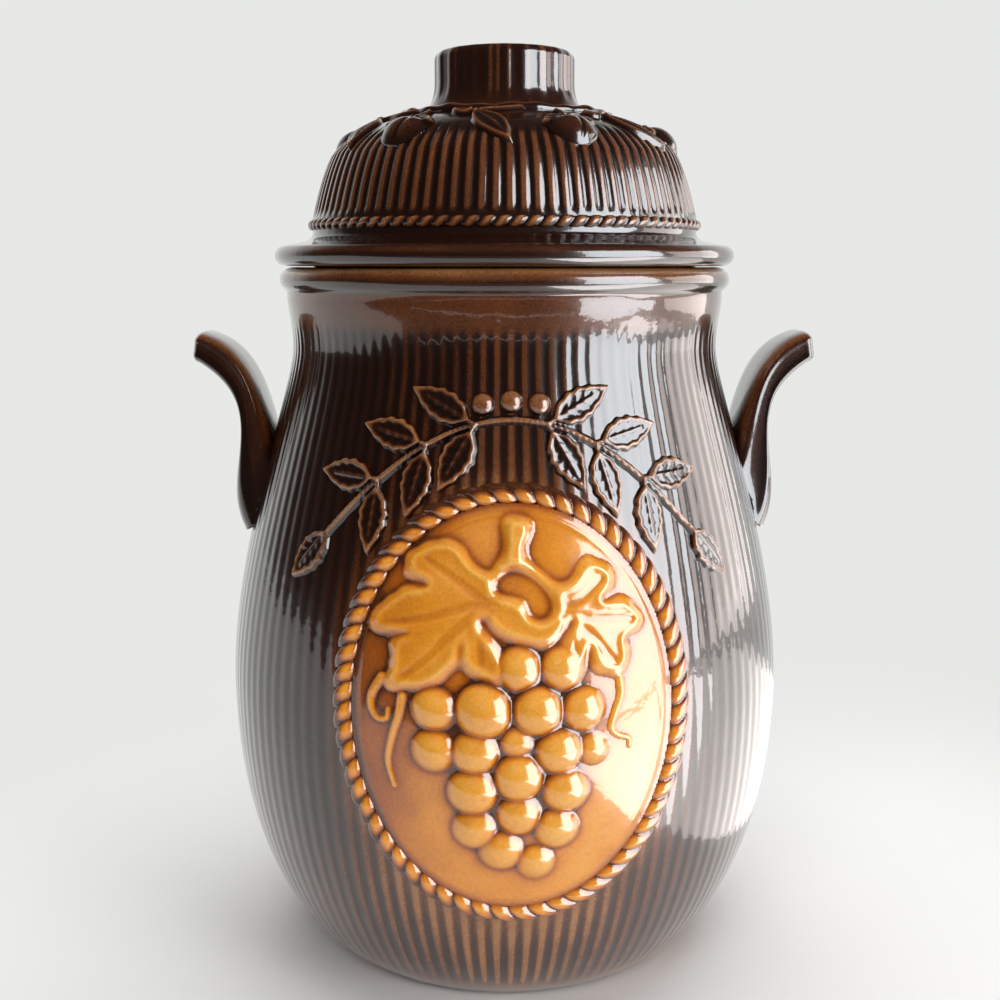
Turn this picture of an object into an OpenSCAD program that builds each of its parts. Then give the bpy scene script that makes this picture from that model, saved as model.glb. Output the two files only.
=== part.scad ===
// Lidded stoneware fruit jar: a bellied pot with two horn-shaped lug handles, a domed lid that
// lifts out of the mouth, and applied relief ornament. Millimetres, +Z up, origin at the
// middle of the foot, front of the jar towards -Y.

/* [Pot] */
// Height of the pot's rim above the foot
pot_h = 230.3; // [226:0.1:236]
// Radius of the flat foot
foot_r = 58; // [52:1:64]
// Widest radius of the belly
belly_r = 93; // [88:1:98]
// Height of the belly's widest line, as a share of the pot's height
belly_up = 0.404; // [0.376:0.002:0.434]
// Narrowest radius of the neck
neck_r = 70.7; // [68:0.1:73]
// Height of the neck's narrowest line, as a share of the pot's height
neck_up = 0.89; // [0.87:0.002:0.906]
// How far the rolled rim stands out past the neck
rim_out = 3.9; // [3:0.1:6]
// Height of the rolled rim from its crease to its top
rim_roll = 8; // [6:0.5:10]
// Depth of the crease under the rolled rim
rim_crease = 2.2; // [1:0.1:3.5]
// How far the base swings out from the foot
foot_flare = 17; // [12:1:20]
// How high the base lifts while it swings out
foot_lift = 9.2; // [6:0.1:12]
// Fullness of the belly below its widest line
belly_low = 54; // [46:1:62]
// Fullness of the belly above its widest line
belly_high = 43.3; // [38:0.1:50]
// Straightness of the neck below its narrowest line
neck_low = 14.1; // [8:0.1:20]
// Thickness of the pot's wall
wall = 6.5; // [5:0.5:8]
// Thickness of the pot's floor
floor_t = 8; // [6:0.5:12]
// Coarse flutes round the pot
flute_count = 70; // [56:14:84]
// Depth of a flute
flute_depth = 0.8; // [0.5:0.1:1.1]

/* [Handles] */
// Height of a handle's lower end, as a share of the pot's height
handle_up = 0.621; // [0.6:0.003:0.642]
// Height of the free tip's underside, as a share of the pot's height
tip_up = 0.853; // [0.835:0.003:0.868]
// Reach of the free tip past the belly
tip_reach = 10; // [6:0.5:16]
// Thickness of the free tip
tip_t = 9; // [7:0.5:11]
// Width of a handle from front to back
handle_w = 36; // [28:1:42]

/* [Medallion] */
// Height of the medallion's centre, as a share of the pot's height
medal_up = 0.453; // [0.435:0.003:0.468]
// Half width of the rope border, at the middle of the rope
rope_a = 49.4; // [44:0.1:53]
// Half height of the rope border, at the middle of the rope, as a share of the pot's height
rope_up = 0.271; // [0.244:0.003:0.277]
// Width of the rope border
rope_w = 6; // [4:0.5:7]
// Height of the rope border above the pot
rope_h = 3; // [2:0.1:4]
// Height of the oval field above the pot at its edge
field_t = 1.2; // [0.8:0.1:2]
// Rise of the oval field from its edge to its middle
field_rise = 2.8; // [1:0.1:4]
// Radius of a full-sized grape
grape_r = 6.2; // [5:0.1:6.6]
// Depth of a grape's centre below the field
grape_sink = 1.5; // [0.5:0.1:3]
// Length of the large vine leaf's middle lobe, as a share of the medallion's half height
leaf_big = 0.449; // [0.389:0.005:0.479]
// Length of the small vine leaf's middle lobe, as a share of the medallion's half height
leaf_small = 0.353; // [0.293:0.005:0.368]
// Thickness of the vine leaves
leaf_t = 1.8; // [1:0.1:2.5]
// Width of the vine's stem
stem_w = 5; // [3:0.5:6]
// Height of the vine's stem above the field
stem_h = 2.8; // [2:0.1:3.2]
// Width of a tendril
tendril_w = 2.6; // [1.8:0.2:3]

/* [Garland] */
// Height of the garland's crown, as a share of the pot's height
garland_up = 0.812; // [0.8:0.002:0.824]
// Drop of the garland from its crown to its ends, as a share of the pot's height
garland_fall = 0.148; // [0.12:0.004:0.164]
// Half angle that the garland spans round the pot
garland_angle = 40; // [34:1:44]
// Pairs of leaves on each half of the garland
garland_pairs = 3; // [2:1:3]
// Length of a garland leaf, as a share of the pot's height
garland_leaf = 0.087; // [0.07:0.001:0.095]
// Width of a garland leaf, as a share of its length
garland_slim = 0.5; // [0.4:0.02:0.6]
// Thickness of a garland leaf
garland_leaf_t = 1.6; // [1:0.1:2.5]
// Radius of a garland berry
berry_r = 3.6; // [2.5:0.1:4.5]

/* [Lid] */
// Height of the lid's top above the pot's rim
lid_h = 69.7; // [66:0.1:74]
// How far the lid's flange stands out past the pot's rim
flange_out = 1.4; // [0.5:0.1:4]
// Height of the flange's rolled edge
flange_roll = 6.6; // [5:0.1:8]
// Gap between the pot's rim and the lid at rest
lid_gap = 0.3; // [0.2:0.1:0.5]
// How far the lid's wall stands in from the flange's edge, at the rope band
flange_w = 12.5; // [11:0.1:14]
// Height of the rope band's middle above the flange's underside
lid_rope_dz = 13.1; // [12:0.1:14]
// Height of the lid's rope band
lid_rope_w = 3.4; // [2.5:0.1:4]
// Rise of the dome from its shoulder to its top
dome_rise = 14; // [12:0.5:16]
// How far the lid's wall leans in below the shoulder
lid_lean = 6.5; // [5:0.5:8]
// Thickness of the lid's wall
lid_t = 5.5; // [4:0.5:7]
// Depth of the locating skirt below the flange
skirt_h = 12; // [8:1:18]
// Clearance between the skirt and the mouth
skirt_gap = 1.2; // [0.8:0.1:2]
// Thickness of the locating skirt
skirt_t = 4.5; // [3:0.5:6]
// Coarse flutes round the lid
lid_flute_count = 47; // [36:1:56]
// Depth of a flute in the lid
lid_flute_depth = 0.9; // [0.5:0.1:1.1]
// Height of the knob above the dome
knob_h = 20.4; // [18:0.1:23]
// Radius of the knob's shaft
knob_r = 23; // [20:0.5:24]
// Radius of the knob's flared foot
knob_foot_r = 26.5; // [25.5:0.5:28]
// Height of the knob's flared foot
knob_foot_h = 10; // [8:0.5:12]
// Rounding of the knob's top edge
knob_round = 3; // [2:0.5:5]
// Fruits round the dome
lid_fruit_count = 6; // [3:1:7]
// Radius of a fruit on the dome
lid_fruit_r = 9; // [7:0.5:10]
// Height of a fruit above the dome
lid_fruit_h = 3.5; // [2:0.5:4.5]
// Length of a leaf on the dome
lid_leaf_l = 21; // [16:1:24]
// Width of a leaf on the dome
lid_leaf_w = 9; // [6:0.5:10]
// Height of the dome's leaves above the dome
lid_leaf_t = 1.4; // [0.8:0.1:2]

/* [Hidden] */
$fn = 192;
// Film of glaze left between the jar and what is laid on it
film = 0.1;
// Steps along each curve of an outline
curve_steps = 22;

// Point on a cubic curve
function bez(a, b, c, d, t) =
    pow(1 - t, 3) * a + 3 * pow(1 - t, 2) * t * b + 3 * (1 - t) * t * t * c + pow(t, 3) * d;
// Direction of a cubic curve
function bez_dir(a, b, c, d, t) =
    let (v = pow(1 - t, 2) * (b - a) + 2 * (1 - t) * t * (c - b) + t * t * (d - c)) v / norm(v);
// Point on a cubic curve, moved by d to the left of its direction
function bez_off(k, t, d) =
    let (v = bez_dir(k[0], k[1], k[2], k[3], t)) bez(k[0], k[1], k[2], k[3], t) + d * [-v[1], v[0]];
// Points along the curve with corners k, moved by d to its left
function curve(k, d = 0, n = curve_steps) = [for (i = [0:n]) bez_off(k, i / n, d)];

// Overall height with the lid on
total_h = pot_h + lid_h;
belly_z = belly_up * pot_h;
neck_z = neck_up * pot_h;
rim_r = neck_r + rim_out;
// Pot's outline, from the foot to the crease under the rim
crease_z = pot_h - rim_roll;
crease_r = rim_r - rim_crease;
cove_h = crease_z - neck_z;
foot_curve = [
    [foot_r, 0], [foot_r + foot_flare, foot_lift], [belly_r, belly_z - belly_low], [belly_r, belly_z]
];
shoulder_curve = [
    [belly_r, belly_z], [belly_r, belly_z + belly_high], [neck_r, neck_z - neck_low], [neck_r, neck_z]
];
cove_curve = [
    [neck_r, neck_z], [neck_r, neck_z + 0.4 * cove_h],
    [crease_r, crease_z - 0.35 * cove_h], [crease_r, crease_z]
];
POT_LINE = concat(
    curve(foot_curve),
    [for (p = curve(shoulder_curve)) if (p[1] > belly_z) p],
    [for (p = curve(cove_curve, 0, 8)) if (p[1] > neck_z) p]
);
POT_TABLE = [for (p = POT_LINE) [p[1], p[0]]];
// Radius of the pot's outside at a height
function pot_r(z) = lookup(z, POT_TABLE);
mouth_r = neck_r - wall;
mouth_round = 1.5;
// Where the flutes start on the foot's curve and end on the cove's, from 0 to 1 along each
flute_start = 0.18;
flute_end = 0.5;

// Lid's heights and radii
lid_z = pot_h + lid_gap;
flange_r = rim_r + flange_out;
lid_wall_r = flange_r - flange_w;
dome_z = total_h - knob_h;
lid_rope_z = lid_z + lid_rope_dz;
flange_z = lid_z + flange_roll;
lid_land = lid_rope_w / 2 + 0.2;
shoulder_r = lid_wall_r - lid_lean;
shoulder_z = dome_z - dome_rise;
wall_z = lid_rope_z + lid_land;
wall_rise = shoulder_z - wall_z;
dome_r = knob_foot_r + 1;
dome_run = shoulder_r - dome_r;
lid_cove = 4;
skirt_r = mouth_r - skirt_gap;
lid_wall_curve = [
    [lid_wall_r, wall_z], [lid_wall_r - 0.34 * lid_lean, wall_z + 0.455 * wall_rise],
    [shoulder_r + 0.4 * lid_lean, shoulder_z - 0.25 * wall_rise], [shoulder_r, shoulder_z]
];
lid_dome_curve = [
    [shoulder_r, shoulder_z], [shoulder_r - 0.153 * dome_run, shoulder_z + 0.464 * dome_rise],
    [dome_r + 0.475 * dome_run, dome_z - 0.18 * dome_rise], [dome_r, dome_z]
];
lid_cove_curve = [
    [lid_wall_r + lid_cove, flange_z + 0.3 * lid_cove],
    [lid_wall_r + 0.25 * lid_cove, flange_z + 0.45 * lid_cove],
    [lid_wall_r, lid_rope_z - lid_cove], [lid_wall_r, lid_rope_z - lid_land]
];
// Core, back and dip of the lid's flutes below its outline, and where they end on the dome
lid_flute_core = 1.6;
lid_flute_back = 3.4;
lid_flute_dip = 1.2;
lid_flute_end = 0.12;

// Solid of revolution inside the pot's outside, moved out by d
module pot_skin(d = 0) {
    rotate_extrude()
        polygon(concat([[0, 0]], [for (p = POT_LINE) p + [d, 0]], [[0, crease_z]]));
}

medal_z = medal_up * pot_h;
rope_b = rope_up * pot_h;
// Middle of the oval field's own plan curve, in front of the jar's axis
field_c = 0.19 * belly_r;
field_a = rope_a - rope_w / 2 - 0.3;
field_b = rope_b - rope_w / 2 - 0.3;
// Radius of the field's plan curve at a height
function field_r(z) =
    pot_r(z) - field_c + field_t + field_rise * (1 - pow((z - medal_z) / rope_b, 2));
// Distance of the field's front from the jar's axis plane
function field_y(x, z) = -field_c - sqrt(pow(field_r(z), 2) - x * x);

// Solid whose front is the oval field, moved out by d
module field_skin(d = 0) {
    z0 = medal_z - rope_b;
    n = 28;
    line = [for (i = [0:n]) let (z = z0 + 2 * rope_b * i / n) [field_r(z) + d, z]];
    translate([0, -field_c, 0])
        rotate_extrude()
            polygon(concat([[0, z0]], line, [[0, z0 + 2 * rope_b]]));
}

// Prism towards the front with the outline given in X and Z
module front_prism(points) {
    rotate([90, 0, 0])
        linear_extrude(height = belly_r + 20)
            polygon(points);
}

// Skin of the oval field between two heights above it, inside an outline
module field_relief(points, low, high) {
    difference() {
        intersection() {
            front_prism(points);
            field_skin(high);
        }
        field_skin(low);
    }
}

// Skin of the pot between two heights above it, inside an outline
module pot_relief(points, low, high) {
    difference() {
        intersection() {
            front_prism(points);
            pot_skin(high);
        }
        pot_skin(low);
    }
}

// Solid through rings of points, with flat ends
module loft(rings) {
    n = len(rings[0]);
    m = len(rings);
    ends = [[for (j = [0:n - 1]) j], [for (j = [n - 1:-1:0]) (m - 1) * n + j]];
    sides = [
        for (i = [0:m - 2], j = [0:n - 1])
            let (a = i * n + j, b = i * n + (j + 1) % n)
                each [[a, a + n, b + n], [a, b + n, b]]
    ];
    polyhedron([for (ring = rings) each ring], concat(ends, sides));
}

// Solid through rings of points that come round to the first again
module loop_loft(rings) {
    n = len(rings[0]);
    m = len(rings);
    sides = [
        for (i = [0:m - 1], j = [0:n - 1])
            let (a = i * n + j, b = i * n + (j + 1) % n)
            let (c = (i + 1) % m * n + j, d = (i + 1) % m * n + (j + 1) % n)
                each [[a, c, d], [a, d, b]]
    ];
    polyhedron([for (ring = rings) each ring], sides);
}

// Pointed lobe of a leaf: its edge's distance from the leaf's base in a direction
function lobe_r(l, w, turn) =
    let (a = abs(turn)) a < 80 ? l / (cos(a) + w * sin(a)) : 0;
// Lobes of a vine leaf: turn from the middle lobe, share of its length, slimness
LOBES = [[0, 1, 2.1], [58, 0.92, 2.3], [-58, 0.92, 2.3], [118, 0.72, 1.8], [-118, 0.72, 1.8]];
teeth = 36;
tooth_depth = 0.07;
// Outline of a vine leaf with its base at c, its middle lobe of length l pointing along turn
function vine_leaf(c, l, turn) = [
    for (i = [0:2 * teeth - 1])
        let (a = i * 180 / teeth - 180)
        let (r = max([for (k = LOBES) lobe_r(k[1] * l, k[2], a - k[0])]))
            c + max(r, 0.3 * l) * (1 - (i % 2) * tooth_depth) * [cos(a + turn), sin(a + turn)]
];

// Outline of a pointed leaf of length l and width w that starts at the origin, along X
function plain_leaf(l, w, n = 8) = concat(
    [for (i = [0:n]) [l * i / n, w / 2 * pow(sin(180 * pow(i / n, 0.8)), 0.9)]],
    [for (i = [n - 1:-1:1]) [l * i / n, -w / 2 * pow(sin(180 * pow(i / n, 0.8)), 0.9)]]
);
// Outline turned by a about the origin and moved to c
function placed(points, a, c) = [
    for (p = points) c + [p[0] * cos(a) - p[1] * sin(a), p[0] * sin(a) + p[1] * cos(a)]
];

// Depth of a fluted wall's core, and of the back of the flutes' skin, below the outline
flute_core = 1.9;
flute_back = 3.9;
// How far the skin dips into the wall past the flutes' ends
flute_dip = 1.5;
// Depth at which the flutes fade into the plain wall
fade = 0.3;
// Clearance of the crests below what is laid on the wall
flute_clear = 0.15;

// Skin of flutes on a solid of revolution. Each of its rows is a point of the outline with its
// crest's and its valley's depth below it: [corners of the curve, place on it, crest, valley].
// The back is a list of points of its own.
module flute_skin(rows, back, count) {
    loop_loft([
        for (j = [0:2 * count - 1])
            let (a = -180 * j / count - 90)
            concat(
                [for (row = rows) let (p = bez_off(row[0], row[1], row[2 + j % 2]))
                    [p[0] * cos(a), p[0] * sin(a), p[1]]],
                [for (i = [len(back) - 1:-1:0]) [back[i][0] * cos(a), back[i][0] * sin(a), back[i][1]]]
            )
    ]);
}

// Ring of a half-round section on a surface: middle c, direction u, outward n, width w, height h
function half_round(c, u, n, w, h, k = 8) =
    let (s = cross(u, n))
        [for (i = [0:k]) c + w / 2 * cos(180 * i / k) * s + (film + h * sin(180 * i / k)) * n];

// Outward direction of the pot's surface above a point of its plan, at a height
function pot_normal(x, y, z) =
    let (slope = (pot_r(z + 1) - pot_r(z - 1)) / 2, r = norm([x, y]))
    let (v = [x / r, y / r, -slope]) v / norm(v);
// Point on the front of the pot
function pot_point(x, z) = [x, -sqrt(pow(pot_r(z), 2) - x * x), z];
// Point on the pot at an angle from the front and a height
function pot_polar(a, z) = [pot_r(z) * sin(a), -pot_r(z) * cos(a), z];

// Wall, floor and rolled rim of the pot
module pot_body() {
    roll = rim_roll / 2;
    inside = concat(curve(foot_curve, wall), curve(shoulder_curve, wall));
    low = bez_off(foot_curve, flute_start, 0)[1];
    high = bez_off(cove_curve, flute_end, 0)[1];
    rows = concat(
        [[foot_curve, flute_start - 0.03, flute_dip, flute_dip], [foot_curve, flute_start, fade, fade]],
        [for (t = [flute_start + 0.06:0.11:0.99]) [foot_curve, t, 0, flute_depth]],
        [for (i = [0:3]) [shoulder_curve, i / 8, 0, flute_depth]],
        [for (i = [4:8]) [shoulder_curve, i / 8, flute_clear, flute_clear + flute_depth]],
        [[cove_curve, flute_end - 0.25, flute_clear, flute_clear + flute_depth]],
        [[cove_curve, flute_end, fade, fade], [cove_curve, flute_end + 0.1, flute_dip, flute_dip]]
    );
    back = concat(
        [for (t = [flute_start:0.16:0.99]) bez_off(foot_curve, t, flute_back)],
        [for (i = [0:5]) bez_off(shoulder_curve, i / 5, flute_back)],
        [bez_off(cove_curve, flute_end, flute_back)]
    );
    core = [
        for (p = concat(curve(foot_curve, flute_core, 8), curve(shoulder_curve, flute_core, 8)))
            if (p[1] > low + 4 && p[1] < neck_z - 1) p
    ];
    color("#2b140c") {
        rotate_extrude()
            polygon(concat(
                [[0, 0]],
                [for (p = POT_LINE) if (p[1] < low) p],
                [bez_off(foot_curve, flute_start + 0.02, 0)],
                core,
                [bez_off(cove_curve, 0.1, flute_core), bez_off(cove_curve, flute_end - 0.08, 0)],
                [for (p = POT_LINE) if (p[1] > high) p],
                [for (a = [-60:15:90]) [rim_r - roll + roll * cos(a), pot_h - roll + roll * sin(a)]],
                [[mouth_r + mouth_round, pot_h], [mouth_r, pot_h - mouth_round]],
                [for (i = [len(inside) - 1:-1:0]) if (inside[i][1] > floor_t) inside[i]],
                [[inside[0][0] - 1, floor_t], [0, floor_t]]
            ));
        flute_skin(rows, back, flute_count);
    }
}

handle_z = handle_up * pot_h;
tip_z = tip_up * pot_h;
// Corners of a handle's underside and top, in radius and height
handle_root = pot_r(handle_z);
handle_rise = tip_z - handle_z;
handle_tip = belly_r + tip_reach;
low_z = tip_z - 0.308 * handle_rise;
top_z = tip_z - 0.215 * handle_rise;
handle_low = [
    [handle_root + 1.5, handle_z], [handle_root + 12, handle_z + 0.35 * handle_rise],
    [pot_r(low_z) - 1, low_z], [handle_tip, tip_z]
];
handle_top = [
    [handle_root - 14, handle_z + 0.17 * handle_rise], [pot_r(top_z) + 5, top_z],
    [neck_r + 11.3, tip_z + 5.5], [handle_tip - 1.5, tip_z + tip_t]
];
handle_rings = 18;
handle_sides = 20;

// Ring across a handle: u along it, s the ring's size
function handle_ring(u, s = 1, ahead = 0) =
    let (low = bez(handle_low[0], handle_low[1], handle_low[2], handle_low[3], u))
    let (top = bez(handle_top[0], handle_top[1], handle_top[2], handle_top[3], u))
    let (mid = (low + top) / 2, half = (top - low) / 2 * s)
    let (out = [half[1], -half[0]] / norm(half))
    let (w = handle_w / 2 * (1 - 0.12 * u) * s)
    [
        for (i = [0:handle_sides - 1])
            let (a = 360 * i / handle_sides)
            let (p = pow(abs(cos(a)), 0.55) * sign(cos(a)), q = pow(abs(sin(a)), 0.55) * sign(sin(a)))
            let (m = mid + q * half + ahead * out)
                [m[0], w * p, m[1]]
    ];

// Horn-shaped lug on the +X side, with its tip rounded off
module handle() {
    rings = concat(
        [for (i = [0:handle_rings]) handle_ring(i / handle_rings)],
        [for (a = [30, 55, 75]) handle_ring(1, cos(a) * 0.6 + 0.4, 3 * sin(a))]
    );
    difference() {
        loft(rings);
        pot_skin();
    }
}

module left_handle() {
    color("#2b140c") mirror([1, 0, 0]) handle();
}

module right_handle() {
    color("#2b140c") handle();
}

// Oval amber field, more curved than the pot behind it
module medallion_field() {
    oval = [for (i = [0:71]) [field_a * cos(5 * i), medal_z + field_b * sin(5 * i)]];
    color("#c8863a")
        difference() {
            intersection() {
                front_prism(oval);
                field_skin();
            }
            pot_skin(film);
        }
}

// Rope border round the field
module medallion_rope() {
    n = 72;
    rings = [
        for (i = [0:n - 1])
            let (a = 360 * i / n)
            let (c = pot_point(rope_a * cos(a), medal_z + rope_b * sin(a)))
            let (d = pot_point(rope_a * cos(a + 1), medal_z + rope_b * sin(a + 1)))
                half_round(c, (d - c) / norm(d - c), pot_normal(c[0], c[1], c[2]), rope_w, rope_h)
    ];
    color("#b87334") loop_loft(rings);
}

// Rows of grapes: height from the medallion's centre as a share of its half height, then for each
// grape its place across as a share of the half width, and its size against a full grape
GRAPE_ROWS = [
    [0.232, [[0.03, 0.95], [0.283, 0.95]]],
    [0.04, [[-0.455, 0.95], [-0.172, 1.15], [0.142, 1.05], [0.405, 0.95]]],
    [-0.152, [[-0.455, 0.95], [-0.223, 1], [0.263, 1], [0.466, 0.75]]],
    [-0.104, [[0.02, 0.75]]],
    [-0.272, [[0.03, 1.05]]],
    [-0.341, [[-0.233, 1.05], [0.304, 1]]],
    [-0.453, [[0.03, 0.95]]],
    [-0.529, [[-0.223, 0.95], [0.253, 0.95]]],
    [-0.638, [[-0.071, 0.95]]],
    [-0.705, [[0.132, 0.85]]]
];

// Grape of radius r on the field
module grape(x, z, r) {
    translate([x, field_y(x, z) + grape_sink, z]) sphere(r = r, $fn = 48);
}

module grape_bunch() {
    color("#d2913f")
        difference() {
            union()
                for (row = GRAPE_ROWS, g = row[1])
                    grape(rope_a * g[0], medal_z + rope_b * row[0], grape_r * g[1]);
            field_skin(film);
        }
}

left_leaf_c = [-0.202 * rope_a, medal_z + 0.529 * rope_b];
right_leaf_c = [0.304 * rope_a, medal_z + 0.497 * rope_b];

module left_vine_leaf() {
    color("#c8863a") field_relief(vine_leaf(left_leaf_c, leaf_big * rope_b, 187), film, leaf_t);
}

module right_vine_leaf() {
    color("#c8863a") field_relief(vine_leaf(right_leaf_c, leaf_small * rope_b, -8), film, leaf_t);
}

// Point on the front of the oval field
function field_point(x, z) = [x, field_y(x, z), z];
// Outward direction of the oval field
function field_normal(x, z) =
    let (v = cross(field_point(x + 1, z) - field_point(x - 1, z),
        field_point(x, z + 1) - field_point(x, z - 1)))
        v / norm(v);

// Half-round stem on the field along a curve with corners k, narrowing from w to w * taper
module field_stem(k, w, h, taper = 1, n = 12) {
    rings = [
        for (i = [0:n])
            let (p = bez_off(k, i / n, 0), v = bez_dir(k[0], k[1], k[2], k[3], i / n))
            let (q = p + v * 0.5, s = 1 - (1 - taper) * i / n)
            let (c = field_point(p[0], p[1]), d = field_point(q[0], q[1]))
                half_round(c, (d - c) / norm(d - c), field_normal(p[0], p[1]), w * s, h * s, 6)
    ];
    loft(rings);
}

// Upright stem of the vine between its leaves
module vine_stem() {
    top = medal_z + field_b - 4;
    low = medal_z + 0.337 * rope_b;
    x = 0.069 * rope_a;
    bend = (top - low) / 3;
    color("#c8863a")
        field_stem([[x - 1, top], [x - 2, top - bend], [x + 1, low + bend], [x, low]], stem_w, stem_h, 0.8);
}

// Tendrils that hang down both sides of the grapes
module tendrils() {
    color("#c8863a")
        for (s = [-1, 1]) {
            x = s * 0.69 * rope_a;
            z = medal_z + 0.05 * rope_b;
            fall = 0.545 * rope_b;
            field_stem([[x, z], [x + 5 * s, z - 0.35 * fall], [x - 6 * s, z - 0.53 * fall], [x, z - fall]],
                tendril_w, 0.54 * tendril_w, 0.5);
        }
}

garland_z = garland_up * pot_h;
garland_drop = garland_fall * pot_h;
garland_leaf_l = garland_leaf * pot_h;
garland_leaf_w = garland_slim * garland_leaf_l;
// Height of the garland's stem at an angle from the front
function garland_at(a) = garland_z - garland_drop * pow(a / garland_angle, 2);
// Tilt of the garland's stem at an angle from the front
function garland_tilt(a) =
    atan((garland_at(a + 1) - garland_at(a - 1)) / (2 * PI / 180 * pot_r(garland_at(a))));
garland_stem_w = 2.6;

module garland_stem() {
    n = 32;
    rings = [
        for (i = [0:n])
            let (a = garland_angle * (2 * i / n - 1))
            let (c = pot_polar(a, garland_at(a)), d = pot_polar(a + 1, garland_at(a + 1)))
            let (u = (d - c) / norm(d - c))
                half_round(c, u, pot_normal(c[0], c[1], c[2]), garland_stem_w, 1.5, 6)
    ];
    color("#3a1d10") loft(rings);
}

// Leaf of the garland that starts beside the stem at an angle from the front
module garland_leaf(a, turn, aside) {
    tilt = garland_tilt(a);
    foot = aside * [-sin(tilt), cos(tilt)] + [0, garland_at(a)];
    rotate([0, 0, a])
        pot_relief(placed(plain_leaf(garland_leaf_l, garland_leaf_w), tilt + turn, foot), film,
            garland_leaf_t);
}

module garland_leaves() {
    pitch = (garland_angle - 9) / garland_pairs;
    aside = garland_stem_w / 2 + 1.2;
    color("#3a1d10") {
        for (k = [0:garland_pairs - 1], s = [-1, 1]) {
            garland_leaf(9 + pitch * k, s * 45, s * aside);
            garland_leaf(-9 - pitch * k, 180 + s * 45, -s * aside);
        }
        garland_leaf(garland_angle + 0.4, 0, 0);
        garland_leaf(-garland_angle - 0.4, 180, 0);
    }
}

// Berries over the garland's crown
module garland_berries() {
    step = 2.3 * berry_r;
    color("#3a1d10")
        difference() {
            for (k = [-1:1]) {
                a = k * step / pot_r(garland_z) * 180 / PI;
                z = garland_at(a) + garland_stem_w / 2 + berry_r + 0.4;
                rotate([0, 0, a])
                    translate([0, -pot_r(z) + 1, z])
                        sphere(r = berry_r, $fn = 64);
            }
            pot_skin(film);
        }
}

// Solid of revolution inside the lid's outside, moved out by d
module lid_skin(d = 0) {
    wall_line = curve(lid_wall_curve, -d, 14);
    dome_line = [for (p = curve(lid_dome_curve, -d, 18)) if (p[1] > wall_line[14][1]) p];
    rotate_extrude()
        polygon(concat(
            [[0, lid_rope_z], [wall_line[0][0], lid_rope_z]],
            wall_line,
            dome_line,
            [[0, dome_line[len(dome_line) - 1][1]]]
        ));
}

// Flange, dome and locating skirt of the lid
module lid_shell() {
    roll = flange_roll / 2;
    inside = concat(
        curve(lid_wall_curve, lid_t, 14),
        [for (p = curve(lid_dome_curve, lid_t, 18)) if (p[0] < shoulder_r - lid_t) p]
    );
    last = len(inside) - 1;
    rows = concat(
        [[lid_wall_curve, 0.02, lid_flute_dip, lid_flute_dip], [lid_wall_curve, 0.05, fade, fade]],
        [for (t = [0.14:0.2:0.95]) [lid_wall_curve, t, 0, lid_flute_depth]],
        [[lid_dome_curve, lid_flute_end / 2, 0, lid_flute_depth], [lid_dome_curve, lid_flute_end, fade, fade]],
        [[lid_dome_curve, lid_flute_end + 0.05, lid_flute_dip, lid_flute_dip]]
    );
    back = concat(
        [for (t = [0.05:0.3:0.95]) bez_off(lid_wall_curve, t, lid_flute_back)],
        [for (t = [0, lid_flute_end]) bez_off(lid_dome_curve, t, lid_flute_back)]
    );
    color("#2b140c") {
        rotate_extrude()
            polygon(concat(
                [[skirt_r - skirt_t, lid_z - skirt_h], [skirt_r - 1, lid_z - skirt_h]],
                [[skirt_r, lid_z - skirt_h + 1], [skirt_r, lid_z]],
                [for (a = [-90:15:90]) [flange_r - roll + roll * cos(a), lid_z + roll + roll * sin(a)]],
                curve(lid_cove_curve, 0, 8),
                [for (t = [0, 0.07]) bez_off(lid_wall_curve, t, 0)],
                [for (t = [0.2:0.2:1]) bez_off(lid_wall_curve, t, lid_flute_core)],
                [bez_off(lid_dome_curve, lid_flute_end / 3, lid_flute_core)],
                [bez_off(lid_dome_curve, lid_flute_end - 0.02, 0)],
                [for (t = [lid_flute_end + 0.04:0.06:0.99]) bez_off(lid_dome_curve, t, 0)],
                [[dome_r, dome_z], [0, dome_z], [0, inside[last][1]]],
                [for (i = [last:-1:0]) inside[i]],
                [[skirt_r - skirt_t, lid_z + 4]]
            ));
        flute_skin(rows, back, lid_flute_count);
    }
}

// Plain ring of the lid's twisted rope band
module lid_rope_band() {
    color("#3a1d10")
        rotate_extrude()
            polygon([
                for (a = [-90:18:90])
                    [lid_wall_r + film + 1.5 * cos(a), lid_rope_z + lid_rope_w / 2 * sin(a)]
            ]);
}

// Stubby knob on the crown of the dome
module lid_knob() {
    flare = [
        [knob_foot_r, dome_z], [knob_r + 1, dome_z + 0.3 * knob_foot_h],
        [knob_r, dome_z + 0.6 * knob_foot_h], [knob_r, dome_z + knob_foot_h]
    ];
    edge = [knob_r - knob_round, total_h - knob_round - 0.6];
    color("#2b140c")
        rotate_extrude()
            polygon(concat(
                [[0, dome_z]],
                curve(flare, 0, 8),
                [for (a = [0:15:75]) edge + knob_round * [cos(a), sin(a)]],
                [[knob_r - knob_round - 1, total_h - 0.4], [knob_r / 2, total_h - 0.1], [0, total_h]]
            ));
}

// Place on the dome and its outward direction, at a share of the way from shoulder to knob
function dome_point(u) = bez_off(lid_dome_curve, u, 0);
function dome_normal(u) = bez_off(lid_dome_curve, u, -1) - dome_point(u);
fruit_turn = -22;

module lid_fruits() {
    p = dome_point(0.3) + (lid_fruit_h - lid_fruit_r) * dome_normal(0.3);
    color("#3a1d10")
        difference() {
            for (i = [0:lid_fruit_count - 1])
                rotate([0, 0, fruit_turn + 360 * i / lid_fruit_count])
                    translate([0, -p[0], p[1]])
                        sphere(r = lid_fruit_r, $fn = 48);
            lid_skin(film);
        }
}

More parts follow.
